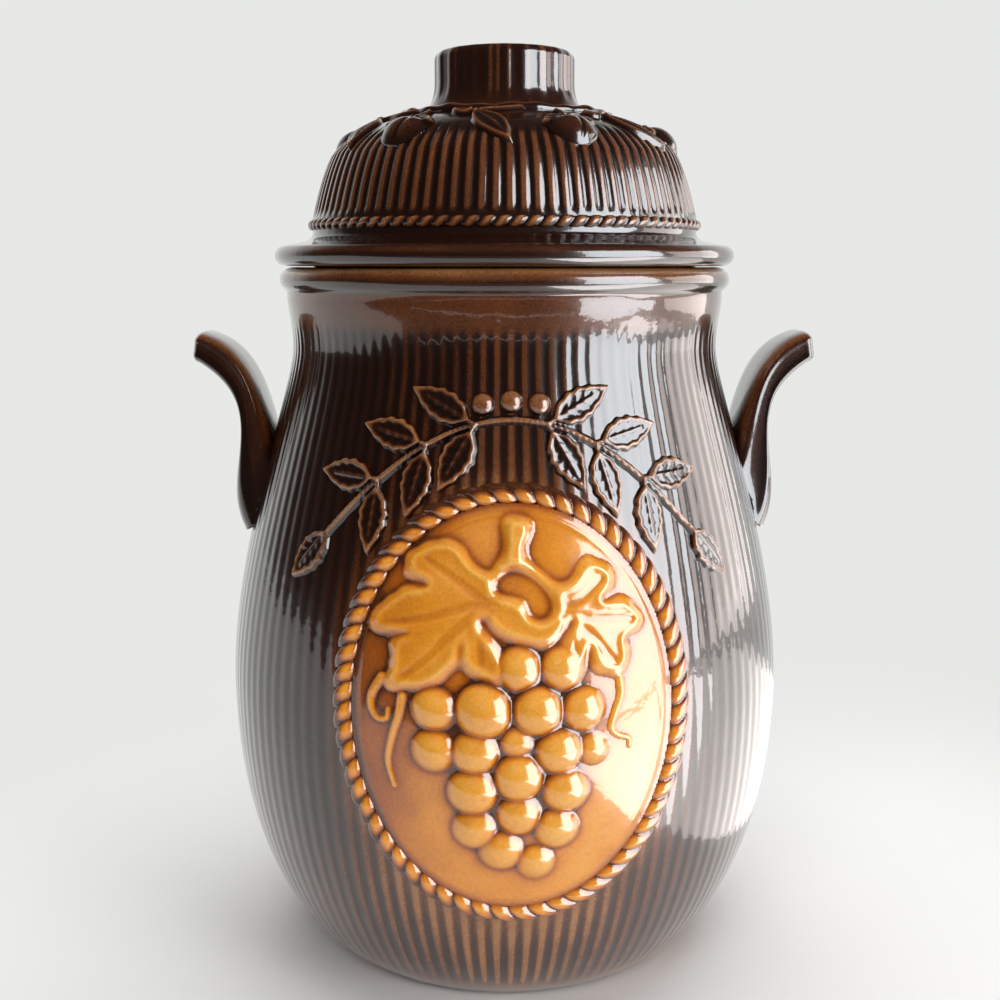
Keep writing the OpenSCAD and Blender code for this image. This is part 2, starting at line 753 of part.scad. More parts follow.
// Pointed leaves that lie on the dome between the fruits
module lid_leaves() {
    color("#3a1d10")
        difference() {
            intersection() {
                for (i = [0:lid_fruit_count - 1])
                    rotate([0, 0, fruit_turn + 360 * (i + 0.5) / lid_fruit_count])
                        translate([0, 0, lid_rope_z])
                            linear_extrude(height = dome_z)
                                polygon(placed(plain_leaf(lid_leaf_l, lid_leaf_w), -70, [-2, -dome_r - 8]));
                lid_skin(lid_leaf_t);
            }
            lid_skin(film);
        }
}

// Twig that runs round the foot of the knob
module lid_twig() {
    p = dome_point(0.86) + 0.2 * dome_normal(0.86);
    color("#3a1d10")
        difference() {
            rotate_extrude()
                translate(p)
                    circle(r = 1.7, $fn = 24);
            lid_skin(film);
        }
}

pot_body();
left_handle();
right_handle();
medallion_field();
medallion_rope();
grape_bunch();
left_vine_leaf();
right_vine_leaf();
vine_stem();
tendrils();
garland_stem();
garland_leaves();
garland_berries();
lid_shell();
lid_rope_band();
lid_knob();
lid_fruits();
lid_leaves();
lid_twig();
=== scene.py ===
"""Looks of a lidded stoneware fruit jar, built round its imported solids.

Lengths are in millimetres until a mesh is made, and in metres from there on. Angles on the jar are
counted from its front, which faces -Y, towards +X.
"""

import logging
import math
from dataclasses import dataclass, field
from enum import Enum
from typing import Callable, Sequence

import bpy
import numpy as np
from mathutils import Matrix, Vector


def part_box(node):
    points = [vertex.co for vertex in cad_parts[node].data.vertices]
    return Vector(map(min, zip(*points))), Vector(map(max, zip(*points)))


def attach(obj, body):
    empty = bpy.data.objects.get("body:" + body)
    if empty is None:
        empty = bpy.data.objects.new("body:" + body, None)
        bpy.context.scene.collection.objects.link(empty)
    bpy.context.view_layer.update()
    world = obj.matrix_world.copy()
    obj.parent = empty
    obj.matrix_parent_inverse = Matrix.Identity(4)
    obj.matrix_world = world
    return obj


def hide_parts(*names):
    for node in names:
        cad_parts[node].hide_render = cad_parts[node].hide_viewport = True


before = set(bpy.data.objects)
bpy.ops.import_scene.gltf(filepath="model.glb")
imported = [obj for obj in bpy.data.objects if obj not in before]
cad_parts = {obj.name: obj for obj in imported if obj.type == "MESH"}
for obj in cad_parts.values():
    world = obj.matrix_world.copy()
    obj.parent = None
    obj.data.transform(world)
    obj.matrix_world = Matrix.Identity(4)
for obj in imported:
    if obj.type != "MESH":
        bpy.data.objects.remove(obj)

MM = 0.001
TINY = 1e-12
Array = np.ndarray
Point = tuple[float, float]
Place = tuple[float, float, float]
Colour = tuple[float, float, float]
Outline = tuple[Point, ...]
log = logging.getLogger("fruit_jar")


class Body(Enum):
    """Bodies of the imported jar."""

    POT = "pot"
    LID = "lid"


class Slot(Enum):
    """Material slots of the record."""

    BROWN = "brown_glaze"
    AMBER = "amber_glaze"


def node_box(node: str) -> tuple[Array, Array]:
    """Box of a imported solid.

    Args:
        node: The solid's name.

    Returns:
        Its lowest and highest corners, in millimetres to the nearest hundredth.
    """
    low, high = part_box(node)
    return np.round(np.array(low) / MM, 2), np.round(np.array(high) / MM, 2)


def smooth(edge0: float, edge1: float, value: Array | float) -> Array:
    """Smooth step from 0 at edge0 to 1 at edge1.

    Args:
        edge0: Value where the step starts.
        edge1: Value where the step ends.
        value: What is stepped.

    Returns:
        The step's height, from 0 to 1.
    """
    t = np.clip((np.asarray(value, float) - edge0) / (edge1 - edge0), 0.0, 1.0)
    return t * t * (3.0 - 2.0 * t)


def cubic(corners: Sequence[Point], steps: int) -> Array:
    """Points on a cubic curve.

    Args:
        corners: The curve's four control points.
        steps: Number of steps along it.

    Returns:
        Array of steps + 1 points.
    """
    k = np.array(corners, float)
    t = np.linspace(0.0, 1.0, steps + 1)[:, None]
    return (1 - t) ** 3 * k[0] + 3 * (1 - t) ** 2 * t * k[1] + 3 * (1 - t) * t * t * k[2] + t ** 3 * k[3]


def left_normals(line: Array) -> Array:
    """Unit normals to the left of a line's direction.

    Args:
        line: Points of the line.

    Returns:
        One normal for each point.
    """
    step = np.gradient(line, axis=0)
    step /= np.linalg.norm(step, axis=1)[:, None] + TINY
    return np.c_[-step[:, 1], step[:, 0]]


def arc(centre: Point, radius: float, start: float, end: float, steps: int) -> Array:
    """Points on a circular arc.

    Args:
        centre: The arc's centre.
        radius: The arc's radius.
        start: First angle in degrees.
        end: Last angle in degrees.
        steps: Number of steps along it.

    Returns:
        Array of steps + 1 points.
    """
    a = np.radians(np.linspace(start, end, steps + 1))
    return np.c_[centre[0] + radius * np.cos(a), centre[1] + radius * np.sin(a)]


def blur(values: Array, reach: int) -> Array:
    """Soft average of a grid, by three box averages in each direction.

    Args:
        values: The grid.
        reach: Half width of each box, in cells.

    Returns:
        The averaged grid.
    """
    out = values.astype(float)
    width = 2 * reach + 1
    for _ in range(3):
        for axis in (0, 1):
            pad = [(0, 0), (0, 0)]
            pad[axis] = (reach + 1, reach)
            total = np.cumsum(np.pad(out, pad, mode="edge"), axis=axis)
            high = np.take(total, range(width, total.shape[axis]), axis=axis)
            low = np.take(total, range(0, total.shape[axis] - width), axis=axis)
            out = (high - low) / width
    return out


def segment_distance(x: Array, y: Array, line: Array, closed: bool) -> tuple[Array, Array]:
    """Distance from grid points to a line of segments.

    Args:
        x: Grid of first coordinates.
        y: Grid of second coordinates.
        line: Points of the line.
        closed: Whether the last point joins the first.

    Returns:
        The distance, and the share of the way along the line where it is nearest.
    """
    ends = np.roll(line, -1, axis=0) if closed else line[1:]
    starts = line if closed else line[:-1]
    best = np.full(x.shape, np.inf)
    where = np.zeros(x.shape)
    for i, (a, b) in enumerate(zip(starts, ends)):
        d = b - a
        t = np.clip(((x - a[0]) * d[0] + (y - a[1]) * d[1]) / (d @ d + TINY), 0.0, 1.0)
        dist = np.hypot(x - a[0] - t * d[0], y - a[1] - t * d[1])
        near = dist < best
        best = np.where(near, dist, best)
        where = np.where(near, (i + t) / len(starts), where)
    return best, where


def inside_distance(x: Array, y: Array, outline: Array) -> Array:
    """Distance from an outline, positive inside it and negative outside.

    Args:
        x: Grid of first coordinates.
        y: Grid of second coordinates.
        outline: Points of the closed outline.

    Returns:
        The signed distance at each grid point.
    """
    inside = np.zeros(x.shape, bool)
    for a, b in zip(outline, np.roll(outline, -1, axis=0)):
        crosses = (a[1] > y) != (b[1] > y)
        run = (b[0] - a[0]) * (y - a[1]) / (b[1] - a[1] + TINY) + a[0]
        inside ^= crosses & (x < run)
    distance, _ = segment_distance(x, y, outline, True)
    return np.where(inside, distance, -distance)


def rounded(outline: Outline, passes: int = 2, cut: float = 0.2) -> Array:
    """Closed outline with its corners cut smooth.

    Args:
        outline: The outline's corners.
        passes: How many times corners are cut.
        cut: Share of each side that a cut takes off at either end.

    Returns:
        Points of the smoother outline.
    """
    line = np.array(outline, float)
    for _ in range(passes):
        ahead = np.roll(line, -1, axis=0)
        near, far = (1 - cut) * line + cut * ahead, cut * line + (1 - cut) * ahead
        line = np.stack([near, far], axis=1).reshape(-1, 2)
    return line


def curved(points: Sequence[Point], steps: int = 6) -> Array:
    """Smooth open line through points.

    Args:
        points: Points that the line passes.
        steps: Steps between two points.

    Returns:
        Points of the smooth line.
    """
    p = np.array(points, float)
    p = np.vstack([2 * p[0] - p[1], p, 2 * p[-1] - p[-2]])
    out = []
    for i in range(1, len(p) - 2):
        for t in np.arange(steps) / steps:
            out.append(0.5 * (2 * p[i] + (p[i + 1] - p[i - 1]) * t
                              + (2 * p[i - 1] - 5 * p[i] + 4 * p[i + 1] - p[i + 2]) * t * t
                              + (3 * p[i] - p[i - 1] - 3 * p[i + 1] + p[i + 2]) * t ** 3))
    out.append(p[-2])
    return np.array(out)


@dataclass
class Surface:
    """Points and faces of a piece in millimetres, with a number at each point for its glaze."""

    points: Array
    faces: list
    marks: dict[str, Array] = field(default_factory=dict)
    crease: Array | None = None

    def join(self, other: "Surface") -> "Surface":
        """This surface together with another one.

        Args:
            other: The surface that is added.

        Returns:
            A new surface that holds both.
        """
        shift = len(self.points)
        faces = self.faces + [tuple(i + shift for i in f) for f in other.faces]
        marks = {k: np.concatenate([self.marks[k], other.marks[k]]) for k in self.marks}
        crease = None
        if self.crease is not None and other.crease is not None:
            crease = np.concatenate([self.crease, other.crease])
        return Surface(np.vstack([self.points, other.points]), faces, marks, crease)

    def turned(self, angle: float) -> "Surface":
        """Copy of this surface turned about the jar's axis.

        Args:
            angle: How far it is turned, in degrees.

        Returns:
            The turned copy.
        """
        a = math.radians(angle)
        turn = np.array([[math.cos(a), math.sin(a), 0], [-math.sin(a), math.cos(a), 0], [0, 0, 1]])
        return Surface(self.points @ turn, list(self.faces), dict(self.marks), self.crease)

    def mirrored(self) -> "Surface":
        """Copy of this surface on the other side of the YZ plane."""
        points = self.points * np.array([-1.0, 1.0, 1.0])
        return Surface(points, [f[::-1] for f in self.faces], dict(self.marks), self.crease)


def spun(profile: Array, columns: int, sink: Array, marks: dict[str, Array]) -> Surface:
    """Surface of revolution from an outline that starts and ends on the axis.

    Args:
        profile: Radius and height of each row, up the outside and back down the inside.
        columns: Number of columns round the axis.
        sink: How far each point lies below the outline, rows by columns.
        marks: Numbers for the glaze, rows by columns.

    Returns:
        The closed surface.
    """
    angle = 2 * math.pi * np.arange(columns) / columns
    normal = -left_normals(profile)
    r = profile[:, 0, None] - normal[:, 0, None] * sink
    z = profile[:, 1, None] - normal[:, 1, None] * sink
    rows = np.stack([r * np.sin(angle), -r * np.cos(angle), z + 0 * angle], axis=-1)
    body = rows[1:-1].reshape(-1, 3)
    count = len(rows) - 2
    first = np.arange(count * columns).reshape(count, columns) + 1
    ahead = np.roll(first, -1, axis=1)
    quads = np.stack([first[:-1], ahead[:-1], ahead[1:], first[1:]], axis=-1).reshape(-1, 4)
    faces = [tuple(q) for q in quads.tolist()]
    last = count * columns + 1
    faces += [(0, int(b), int(a)) for a, b in zip(first[0], ahead[0])]
    faces += [(int(a), int(b), last) for a, b in zip(first[-1], ahead[-1])]
    points = np.vstack([[0, 0, profile[0, 1]], body, [0, 0, profile[-1, 1]]])
    flat = {k: np.concatenate([[v[1, 0]], v[1:-1].ravel(), [v[-2, 0]]]) for k, v in marks.items()}
    return Surface(points, faces, flat)


def tube(rings: Array, closed: bool, marks: dict[str, Array]) -> Surface:
    """Surface through rings of points.

    Args:
        rings: Rings by points by 3.
        closed: Whether the last ring joins the first. Otherwise both ends are capped.
        marks: Numbers for the glaze, rings by points.

    Returns:
        The closed surface.
    """
    m, n = rings.shape[:2]
    index = np.arange(m * n).reshape(m, n)
    side = np.roll(index, -1, axis=1)
    a, b = (index, np.roll(index, -1, axis=0)) if closed else (index[:-1], index[1:])
    c, d = (side, np.roll(side, -1, axis=0)) if closed else (side[:-1], side[1:])
    faces = [tuple(q) for q in np.stack([a, b, d, c], axis=-1).reshape(-1, 4).tolist()]
    if not closed:
        faces += [tuple(index[0].tolist()), tuple(index[-1][::-1].tolist())]
    return Surface(rings.reshape(-1, 3), faces, {k: v.ravel() for k, v in marks.items()})


@dataclass
class Relief:
    """Ornament raised from a patch of the jar, as heights over a grid.

    Attributes:
        base: Grid of points on the patch.
        normal: Outward direction at each point.
        heights: Height of each piece over the patch, below nought outside the piece.
        depth: How far a piece reaches below the patch at its edge.
        back: How far the back of a piece lies below the patch.
    """

    base: Array
    normal: Array
    heights: dict[str, Array] = field(default_factory=dict)
    depth: float = 0.15
    back: float = 0.6

    def top(self, soft: float = 0.35) -> Array:
        """Height of all pieces together, with soft valleys where they meet.

        Args:
            soft: Width of the blend between two pieces.

        Returns:
            The height at each point.
        """
        stack = np.stack(list(self.heights.values()))
        peak = stack.max(axis=0)
        share = np.exp((stack - peak) / soft) * smooth(-0.1, 0.3, stack)
        share[stack.argmax(axis=0), *np.indices(peak.shape)] = 1.0
        return peak + soft * np.log(share.sum(axis=0))

    def shells(self, marks: Callable[[Array], dict[str, Array]]) -> dict[str, Surface]:
        """Closed shell of each piece.

        Args:
            marks: Gives the glaze's numbers from the height of all pieces.

        Returns:
            The shells by name.
        """
        height = self.top()
        numbers = marks(height)
        names = list(self.heights)
        owner = np.stack([self.heights[n] for n in names]).argmax(axis=0)
        cell = np.minimum.reduce([height[:-1, :-1], height[:-1, 1:], height[1:, :-1], height[1:, 1:]])
        keep = cell > -self.depth
        shells = {}
        for i, name in enumerate(names):
            mine = keep & (owner[:-1, :-1] == i)
            shells[name] = self.shell(np.maximum(height, -self.depth), mine, numbers)
        return shells

    def shell(self, height: Array, keep: Array, numbers: dict[str, Array]) -> Surface:
        """Closed shell over some cells of the grid.

        Args:
            height: Height at each point.
            keep: Which cells the shell covers.
            numbers: The glaze's numbers at each point.

        Returns:
            The shell.
        """
        used = np.zeros(height.shape, bool)
        for di in (0, 1):
            for dj in (0, 1):
                used[di:di + keep.shape[0], dj:dj + keep.shape[1]] |= keep
        index = np.full(height.shape, -1)
        index[used] = np.arange(used.sum())
        count = int(used.sum())
        front = (self.base + self.normal * height[..., None])[used]
        behind = (self.base - self.normal * self.back)[used]
        quads = np.stack([index[:-1, :-1], index[:-1, 1:], index[1:, 1:], index[1:, :-1]], axis=-1)[keep]
        walls = []
        pad = np.pad(keep, 1)
        corner = ((0, 0), (0, 1), (1, 1), (1, 0))
        for side, (di, dj) in enumerate(((-1, 0), (0, 1), (1, 0), (0, -1))):
            beside = pad[1 + di:1 + di + keep.shape[0], 1 + dj:1 + dj + keep.shape[1]]
            i, j = np.nonzero(keep & ~beside)
            a = index[i + corner[side][0], j + corner[side][1]]
            b = index[i + corner[(side + 1) % 4][0], j + corner[(side + 1) % 4][1]]
            walls.append(np.stack([a, a + count, b + count, b], axis=-1))
        faces = np.vstack([quads, quads[:, ::-1] + count] + walls)
        crease = np.zeros(2 * count, bool)
        crease[np.vstack(walls).ravel()] = True
        marks = {k: np.tile(v[used], 2) for k, v in numbers.items()}
        return Surface(np.vstack([front, behind]), [tuple(f) for f in faces.tolist()], marks, crease)


@dataclass
class JarForm:
    """Outline of the pot, the same as in its solids.

    Attributes:
        belly_r: Radius of the belly.
        pot_h: Height of the rim's top.
        foot_pull: How far out and up the curve runs from the foot before it bends.
        belly_pull: How far down and up it runs from the belly before it bends.
        neck_pull: How far down it runs from the neck before it bends.
        cove_pull: The same for the cove's two ends, as shares of its height.
        rows: Steps along the lower side, the upper side and the cove.
        fine_rows: Steps along each side where its radius is looked up.
    """

    belly_r: float
    pot_h: float
    belly_z: float = 93.04
    foot_r: float = 58.0
    neck_r: float = 70.7
    neck_z: float = 204.97
    rim_r: float = 74.6
    rim_roll: float = 8.0
    crease_r: float = 72.4
    wall: float = 6.5
    floor_t: float = 8.0
    foot_pull: Point = (17.0, 9.2)
    belly_pull: Point = (54.0, 43.3)
    neck_pull: float = 14.1
    cove_pull: Point = (0.4, 0.35)
    rows: tuple[int, int, int] = (30, 34, 8)
    fine_rows: int = 200

    @classmethod
    def from_frame(cls) -> "JarForm":
        """The outline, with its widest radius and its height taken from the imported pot."""
        _, high = node_box("pot_body")
        return cls(belly_r=float(high[1]), pot_h=float(high[2]))

    def __post_init__(self) -> None:
        """Works out the outline's curves."""
        crease_z = self.pot_h - self.rim_roll
        rise = crease_z - self.neck_z
        foot, belly, neck = (self.foot_r, 0), (self.belly_r, self.belly_z), (self.neck_r, self.neck_z)
        low = [foot, (foot[0] + self.foot_pull[0], self.foot_pull[1]),
               (belly[0], belly[1] - self.belly_pull[0]), belly]
        high = [belly, (belly[0], belly[1] + self.belly_pull[1]), (neck[0], neck[1] - self.neck_pull), neck]
        cove = [neck, (neck[0], neck[1] + self.cove_pull[0] * rise),
                (self.crease_r, crease_z - self.cove_pull[1] * rise), (self.crease_r, crease_z)]
        self.lower, self.upper, self.cove = (cubic(c, n) for c, n in zip((low, high, cove), self.rows))
        self.line = np.vstack([cubic(low, self.fine_rows), cubic(high, self.fine_rows)[1:], self.cove[1:]])

    def radius(self, z: Array | float) -> Array:
        """Radius of the pot's outside at a height."""
        return np.interp(z, self.line[:, 1], self.line[:, 0])

    def slope(self, z: Array | float) -> Array:
        """Change of the pot's radius with height."""
        return (self.radius(np.asarray(z) + 1.0) - self.radius(np.asarray(z) - 1.0)) / 2.0

    def point(self, angle: Array, z: Array) -> tuple[Array, Array]:
        """Points on the pot and their outward directions.

        Args:
            angle: Angle from the front, in radians.
            z: Height.

        Returns:
            Points and unit normals.
        """
        r, slope = self.radius(z), self.slope(z)
        points = np.stack([r * np.sin(angle), -r * np.cos(angle), z + 0 * angle], axis=-1)
        normal = np.stack([np.sin(angle), -np.cos(angle), -slope + 0 * angle], axis=-1)
        return points, normal / np.linalg.norm(normal, axis=-1)[..., None]


@dataclass
class Oval:
    """The medallion's oval and the surface of its field.

    Attributes:
        form: The pot that it sits on.
        centre_z: Height of its middle.
        rope_a: Half the width of the rope's middle line.
        rope_b: Half the height of the rope's middle line.
        rope_w: Width of the rope.
        rope_h: How far the rope stands out.
        field_t: Thickness of the field.
        field_rise: How far the field bulges in the middle.
        field_c: How far in front of the jar's axis the field's curve has its centre.
    """

    form: JarForm
    centre_z: float = 104.33
    rope_a: float = 49.4
    rope_b: float = 62.41
    rope_w: float = 6.0
    rope_h: float = 3.0
    field_t: float = 1.2
    field_rise: float = 2.8
    field_c: float = 17.67

    def plan_radius(self, z: Array) -> Array:
        """Radius of the field's own plan curve at a height."""
        rise = self.field_rise * (1 - ((z - self.centre_z) / self.rope_b) ** 2)
        return self.form.radius(z) - self.field_c + self.field_t + rise

    def field_y(self, x: Array, z: Array) -> Array:
        """Y of the field's front."""
        return -self.field_c - np.sqrt(np.maximum(self.plan_radius(z) ** 2 - x * x, 1.0))

    def edge_distance(self, x: Array, z: Array) -> Array:
        """Rough distance outward from the rope's middle line.

        Args:
            x: Place across the jar.
            z: Height.

        Returns:
            The distance, below nought inside the oval.
        """
        share = np.hypot(x / self.rope_a, (z - self.centre_z) / self.rope_b)
        reach = np.hypot(x, z - self.centre_z)
        return reach * (1 - 1 / np.maximum(share, 1e-3))


class NodeTree:
    """Short way to write a node tree.

    Args:
        tree: The tree that nodes are added to.
    """

    def __init__(self, tree: bpy.types.NodeTree) -> None:
        """Keeps the tree."""
        self.tree = tree

    def add(self, kind: str, settings: dict | None = None, **inputs: object) -> bpy.types.Node:
        """Adds a node.

        Args:
            kind: The node's type.
            settings: Properties of the node.
            inputs: Values or sockets for its inputs, with _ for a space in a name.

        Returns:
            The node.
        """
        node = self.tree.nodes.new(kind)
        for key, value in (settings or {}).items():
            setattr(node, key, value)
        for key, value in inputs.items():
            place = int(key[1:]) if key[0] == "i" and key[1:].isdigit() else key.replace("_", " ")
            socket = node.inputs[place]
            if isinstance(value, bpy.types.NodeSocket):
                self.tree.links.new(value, socket)
            else:
                socket.default_value = value
        return node

    def place(self) -> bpy.types.NodeSocket:
        """Place of the shaded point in its piece."""
        return self.add("ShaderNodeTexCoord").outputs["Object"]

    def math(self, operation: str, a: object, b: object = 0.0, clamp: bool = False) -> bpy.types.NodeSocket:
        """Result of a sum on numbers or sockets."""
        return self.add("ShaderNodeMath", {"operation": operation, "use_clamp": clamp}, i0=a, i1=b).outputs[0]

    def mark(self, name: str) -> bpy.types.NodeSocket:
        """Number that a mesh keeps at each point."""
        return self.add("ShaderNodeAttribute", {"attribute_name": name}).outputs["Fac"]

    def noise(self, where: object, scale: float, detail: float = 2.0,
              rough: float = 0.5) -> bpy.types.NodeSocket:
        """Noise of a given scale."""
        return self.add("ShaderNodeTexNoise", None, Vector=where, Scale=scale, Detail=detail,
                        Roughness=rough).outputs["Fac"]

    def about_nought(self, noise: object, reach: float) -> bpy.types.NodeSocket:
        """Noise moved to lie evenly about nought, times its reach."""
        return self.math("MULTIPLY", self.math("SUBTRACT", noise, 0.5), reach)

    def step(self, value: object, low: float, high: float) -> bpy.types.NodeSocket:
        """Smooth step from 0 at low to 1 at high."""
        return self.add("ShaderNodeMapRange", {"interpolation_type": "SMOOTHSTEP"}, Value=value, From_Min=low,
                        From_Max=high).outputs[0]

    def ramp(self, value: object, stops: Sequence[tuple[float, Colour]]) -> bpy.types.NodeSocket:
        """Colour from a number.

        Args:
            value: The number.
            stops: Numbers with the colours that they give, in rising order.

        Returns:
            The colour.
        """
        node = self.add("ShaderNodeValToRGB", None, Fac=value)
        bar = node.color_ramp.elements
        while len(bar) < len(stops):
            bar.new(0.5)
        for stop, (place, colour) in zip(bar, stops):
            stop.position = place
            stop.color = (*colour, 1.0)
        return node.outputs["Color"]

    def mix(self, share: object, a: object, b: object) -> bpy.types.NodeSocket:
        """Mix of two colours.

        Args:
            share: Share of the second colour.
            a: The first colour.
            b: The second colour.

        Returns:
            The mixed colour.
        """
        node = self.add("ShaderNodeMix", {"data_type": "RGBA"})
        for place, value in ((0, share), (6, a), (7, b)):
            if isinstance(value, bpy.types.NodeSocket):
                self.tree.links.new(value, node.inputs[place])
            else:
                node.inputs[place].default_value = (*value, 1.0) if isinstance(value, tuple) else value
        return node.outputs[2]


def new_material(name: str) -> tuple[bpy.types.Material, NodeTree]:
    """Makes an empty material.

    Args:
        name: The material's name.

    Returns:
        The material and its node tree.
    """
    material = bpy.data.materials.new(name)
    material.use_nodes = True
    material.node_tree.nodes.clear()
    return material, NodeTree(material.node_tree)


@dataclass(frozen=True)
class Gloss:
    """Wet-looking skin of a fired glaze.

    Attributes:
        roughness: Roughness under the glassy coat.
        swell: Scale of the broad waves in it.
        ripple: Scale of the fine ripples in it.
        ripple_share: Height of the ripples against the waves.
        strength: Strength of the bump.
        height: Height of the bump, in metres.
        coat_roughness: Roughness of the coat.
        coat_ior: Index of refraction of the coat.
    """

    roughness: float
    swell: float
    ripple: float
    ripple_share: float
    strength: float
    height: float
    coat_roughness: float = 0.035
    coat_ior: float = 1.55

    def shade(self, n: NodeTree, where: bpy.types.NodeSocket, colour: bpy.types.NodeSocket) -> None:
        """Ends a material with this gloss over a colour.

        Args:
            n: The material's nodes.
            where: Place of the shaded point.
            colour: Colour of the glaze.
        """
        level = n.math("ADD", n.noise(where, self.swell), n.math("MULTIPLY", n.noise(where, self.ripple),
                                                                 self.ripple_share))
        bump = n.add("ShaderNodeBump", None, Strength=self.strength, Distance=self.height, Height=level)
        shader = n.add("ShaderNodeBsdfPrincipled", None, Base_Color=colour, Roughness=self.roughness,
                       Normal=bump.outputs[0], Coat_Weight=1.0, Coat_Roughness=self.coat_roughness,
                       Coat_IOR=self.coat_ior, Coat_Normal=bump.outputs[0])
        n.add("ShaderNodeOutputMaterial", None, Surface=shader.outputs[0])


@dataclass(frozen=True)
class BrownGlaze:
    """Dark brown glaze that breaks to rust where it is thin.

    Attributes:
        pooled: Colour where it is thickest.
        even: Colour where it lies evenly.
        thin: Colour where it is thin.
        bare_crest: Colour where it has run off a crest.
        stops: Thinness at which it has each of these colours.
        cloud: Scale of the soft clouds in it.
        speck: Scale of the fine specks in it.
        gloss: Its skin.
    """

    pooled: Colour = (0.0060, 0.0018, 0.0010)
    even: Colour = (0.026, 0.0065, 0.0026)
    thin: Colour = (0.152, 0.044, 0.012)
    bare_crest: Colour = (0.36, 0.155, 0.052)
    stops: tuple[float, float, float, float] = (0.0, 0.3, 0.68, 1.0)
    cloud: float = 55.0
    speck: float = 1500.0
    gloss: Gloss = Gloss(0.24, 70.0, 420.0, 0.16, 0.35, 0.0006)

    def material(self) -> bpy.types.Material:
        """Makes the material.

        Returns:
            The glaze as a Blender material.
        """
        made, n = new_material("brown_glaze")
        where = n.place()
        thin = n.mark("thin")
        cloud = n.noise(where, self.cloud, 3.0)
        speck = n.noise(where, self.speck, 3.0, 0.7)
        clouded = n.math("MULTIPLY", thin, n.math("ADD", n.math("MULTIPLY", cloud, 0.7), 0.62))
        share = n.math("ADD", n.math("MULTIPLY", thin, 0.8), 0.12)
        grain = n.math("MULTIPLY", n.about_nought(speck, 1.0), share)
        share = n.math("ADD", clouded, grain, True)
        colours = (self.pooled, self.even, self.thin, self.bare_crest)
        self.gloss.shade(n, where, n.ramp(share, list(zip(self.stops, colours))))
        return made


@dataclass(frozen=True)
class AmberGlaze:
    """Honey glaze that is browner where it pools, with fine crazing.

    Attributes:
        light: Colour on the crests.
        honey: Colour where it lies evenly.
        pooled: Colour where it pools.
        brown: Colour in the deepest recesses.
        crazed: Colour of the crazing's fine lines.
        stops: Depth of the glaze, with painted shade added, at which it has the first four of these colours.
        cloud: Scale of the soft clouds in it.
        speck: Scale of the fine specks in it.
        cells: Scale of the crazing's cells.
        gloss: Its skin.
    """

    light: Colour = (0.95, 0.475, 0.078)
    honey: Colour = (0.80, 0.285, 0.019)
    pooled: Colour = (0.42, 0.100, 0.007)
    brown: Colour = (0.075, 0.020, 0.006)
    crazed: Colour = (0.34, 0.12, 0.03)
    stops: tuple[float, float, float, float] = (0.0, 0.28, 0.62, 0.95)
    cloud: float = 60.0
    speck: float = 1100.0
    cells: float = 230.0
    gloss: Gloss = Gloss(0.22, 75.0, 480.0, 0.12, 0.5, 0.0005)

    def material(self) -> bpy.types.Material:
        """Makes the material.

        Returns:
            The glaze as a Blender material.
        """
        made, n = new_material("amber_glaze")
        where = n.place()
        # The mark holds the glaze's depth together with painted shade on the medallion's left and the rope's
        # upper left.
        clouded = n.math("ADD", n.mark("depth_and_shade"), n.about_nought(n.noise(where, self.cloud, 3.0), 0.34))
        share = n.math("ADD", clouded, n.about_nought(n.noise(where, self.speck, 3.0, 0.7), 0.30), True)
        colours = (self.light, self.honey, self.pooled, self.brown)
        colour = n.ramp(share, list(zip(self.stops, colours)))
        self.gloss.shade(n, where, n.mix(self.crazing(n, where), colour, self.crazed))
        return made

    def crazing(self, n: NodeTree, where: bpy.types.NodeSocket) -> bpy.types.NodeSocket:
        """Fine cracks round crooked cells, which fade in and out.

        Args:
            n: The material's nodes.
            where: Place of the shaded point.

        Returns:
            Strength of the cracks.
        """
        shake = n.add("ShaderNodeTexNoise", None, Vector=where, Scale=260.0, Detail=2.0)
        bent = n.add("ShaderNodeMix", {"data_type": "VECTOR"}, i0=0.0035, i4=where, i5=shake.outputs["Color"])
        cells = n.add("ShaderNodeTexVoronoi", {"feature": "DISTANCE_TO_EDGE"}, Vector=bent.outputs[1],
                      Scale=self.cells)
        line = n.math("SUBTRACT", 1.0, n.math("MULTIPLY", cells.outputs["Distance"], 26.0, True), True)
        return n.math("MULTIPLY", line, n.math("MULTIPLY", n.noise(where, 45.0, 1.0), 0.38, True))


@dataclass(frozen=True)
class BareClay:
    """Unglazed stoneware under the foot."""

    clay: Colour = (0.42, 0.27, 0.17)
    dark: Colour = (0.25, 0.14, 0.08)
    roughness: float = 0.85

    def material(self) -> bpy.types.Material:
        """Makes the material.

        Returns:
            The clay as a Blender material.
        """
        made, n = new_material("bare_clay")
        where = n.place()
        grain = n.noise(where, 900.0, 4.0, 0.7)
        share = n.math("MULTIPLY", n.math("ADD", grain, n.noise(where, 40.0)), 0.5)
        colour = n.ramp(share, [(0.35, self.dark), (0.62, self.clay)])
        bump = n.add("ShaderNodeBump", None, Strength=0.6, Distance=0.0003, Height=grain)
        shader = n.add("ShaderNodeBsdfPrincipled", None, Base_Color=colour, Roughness=self.roughness,
                       Normal=bump.outputs[0])
        n.add("ShaderNodeOutputMaterial", None, Surface=shader.outputs[0])
        return made


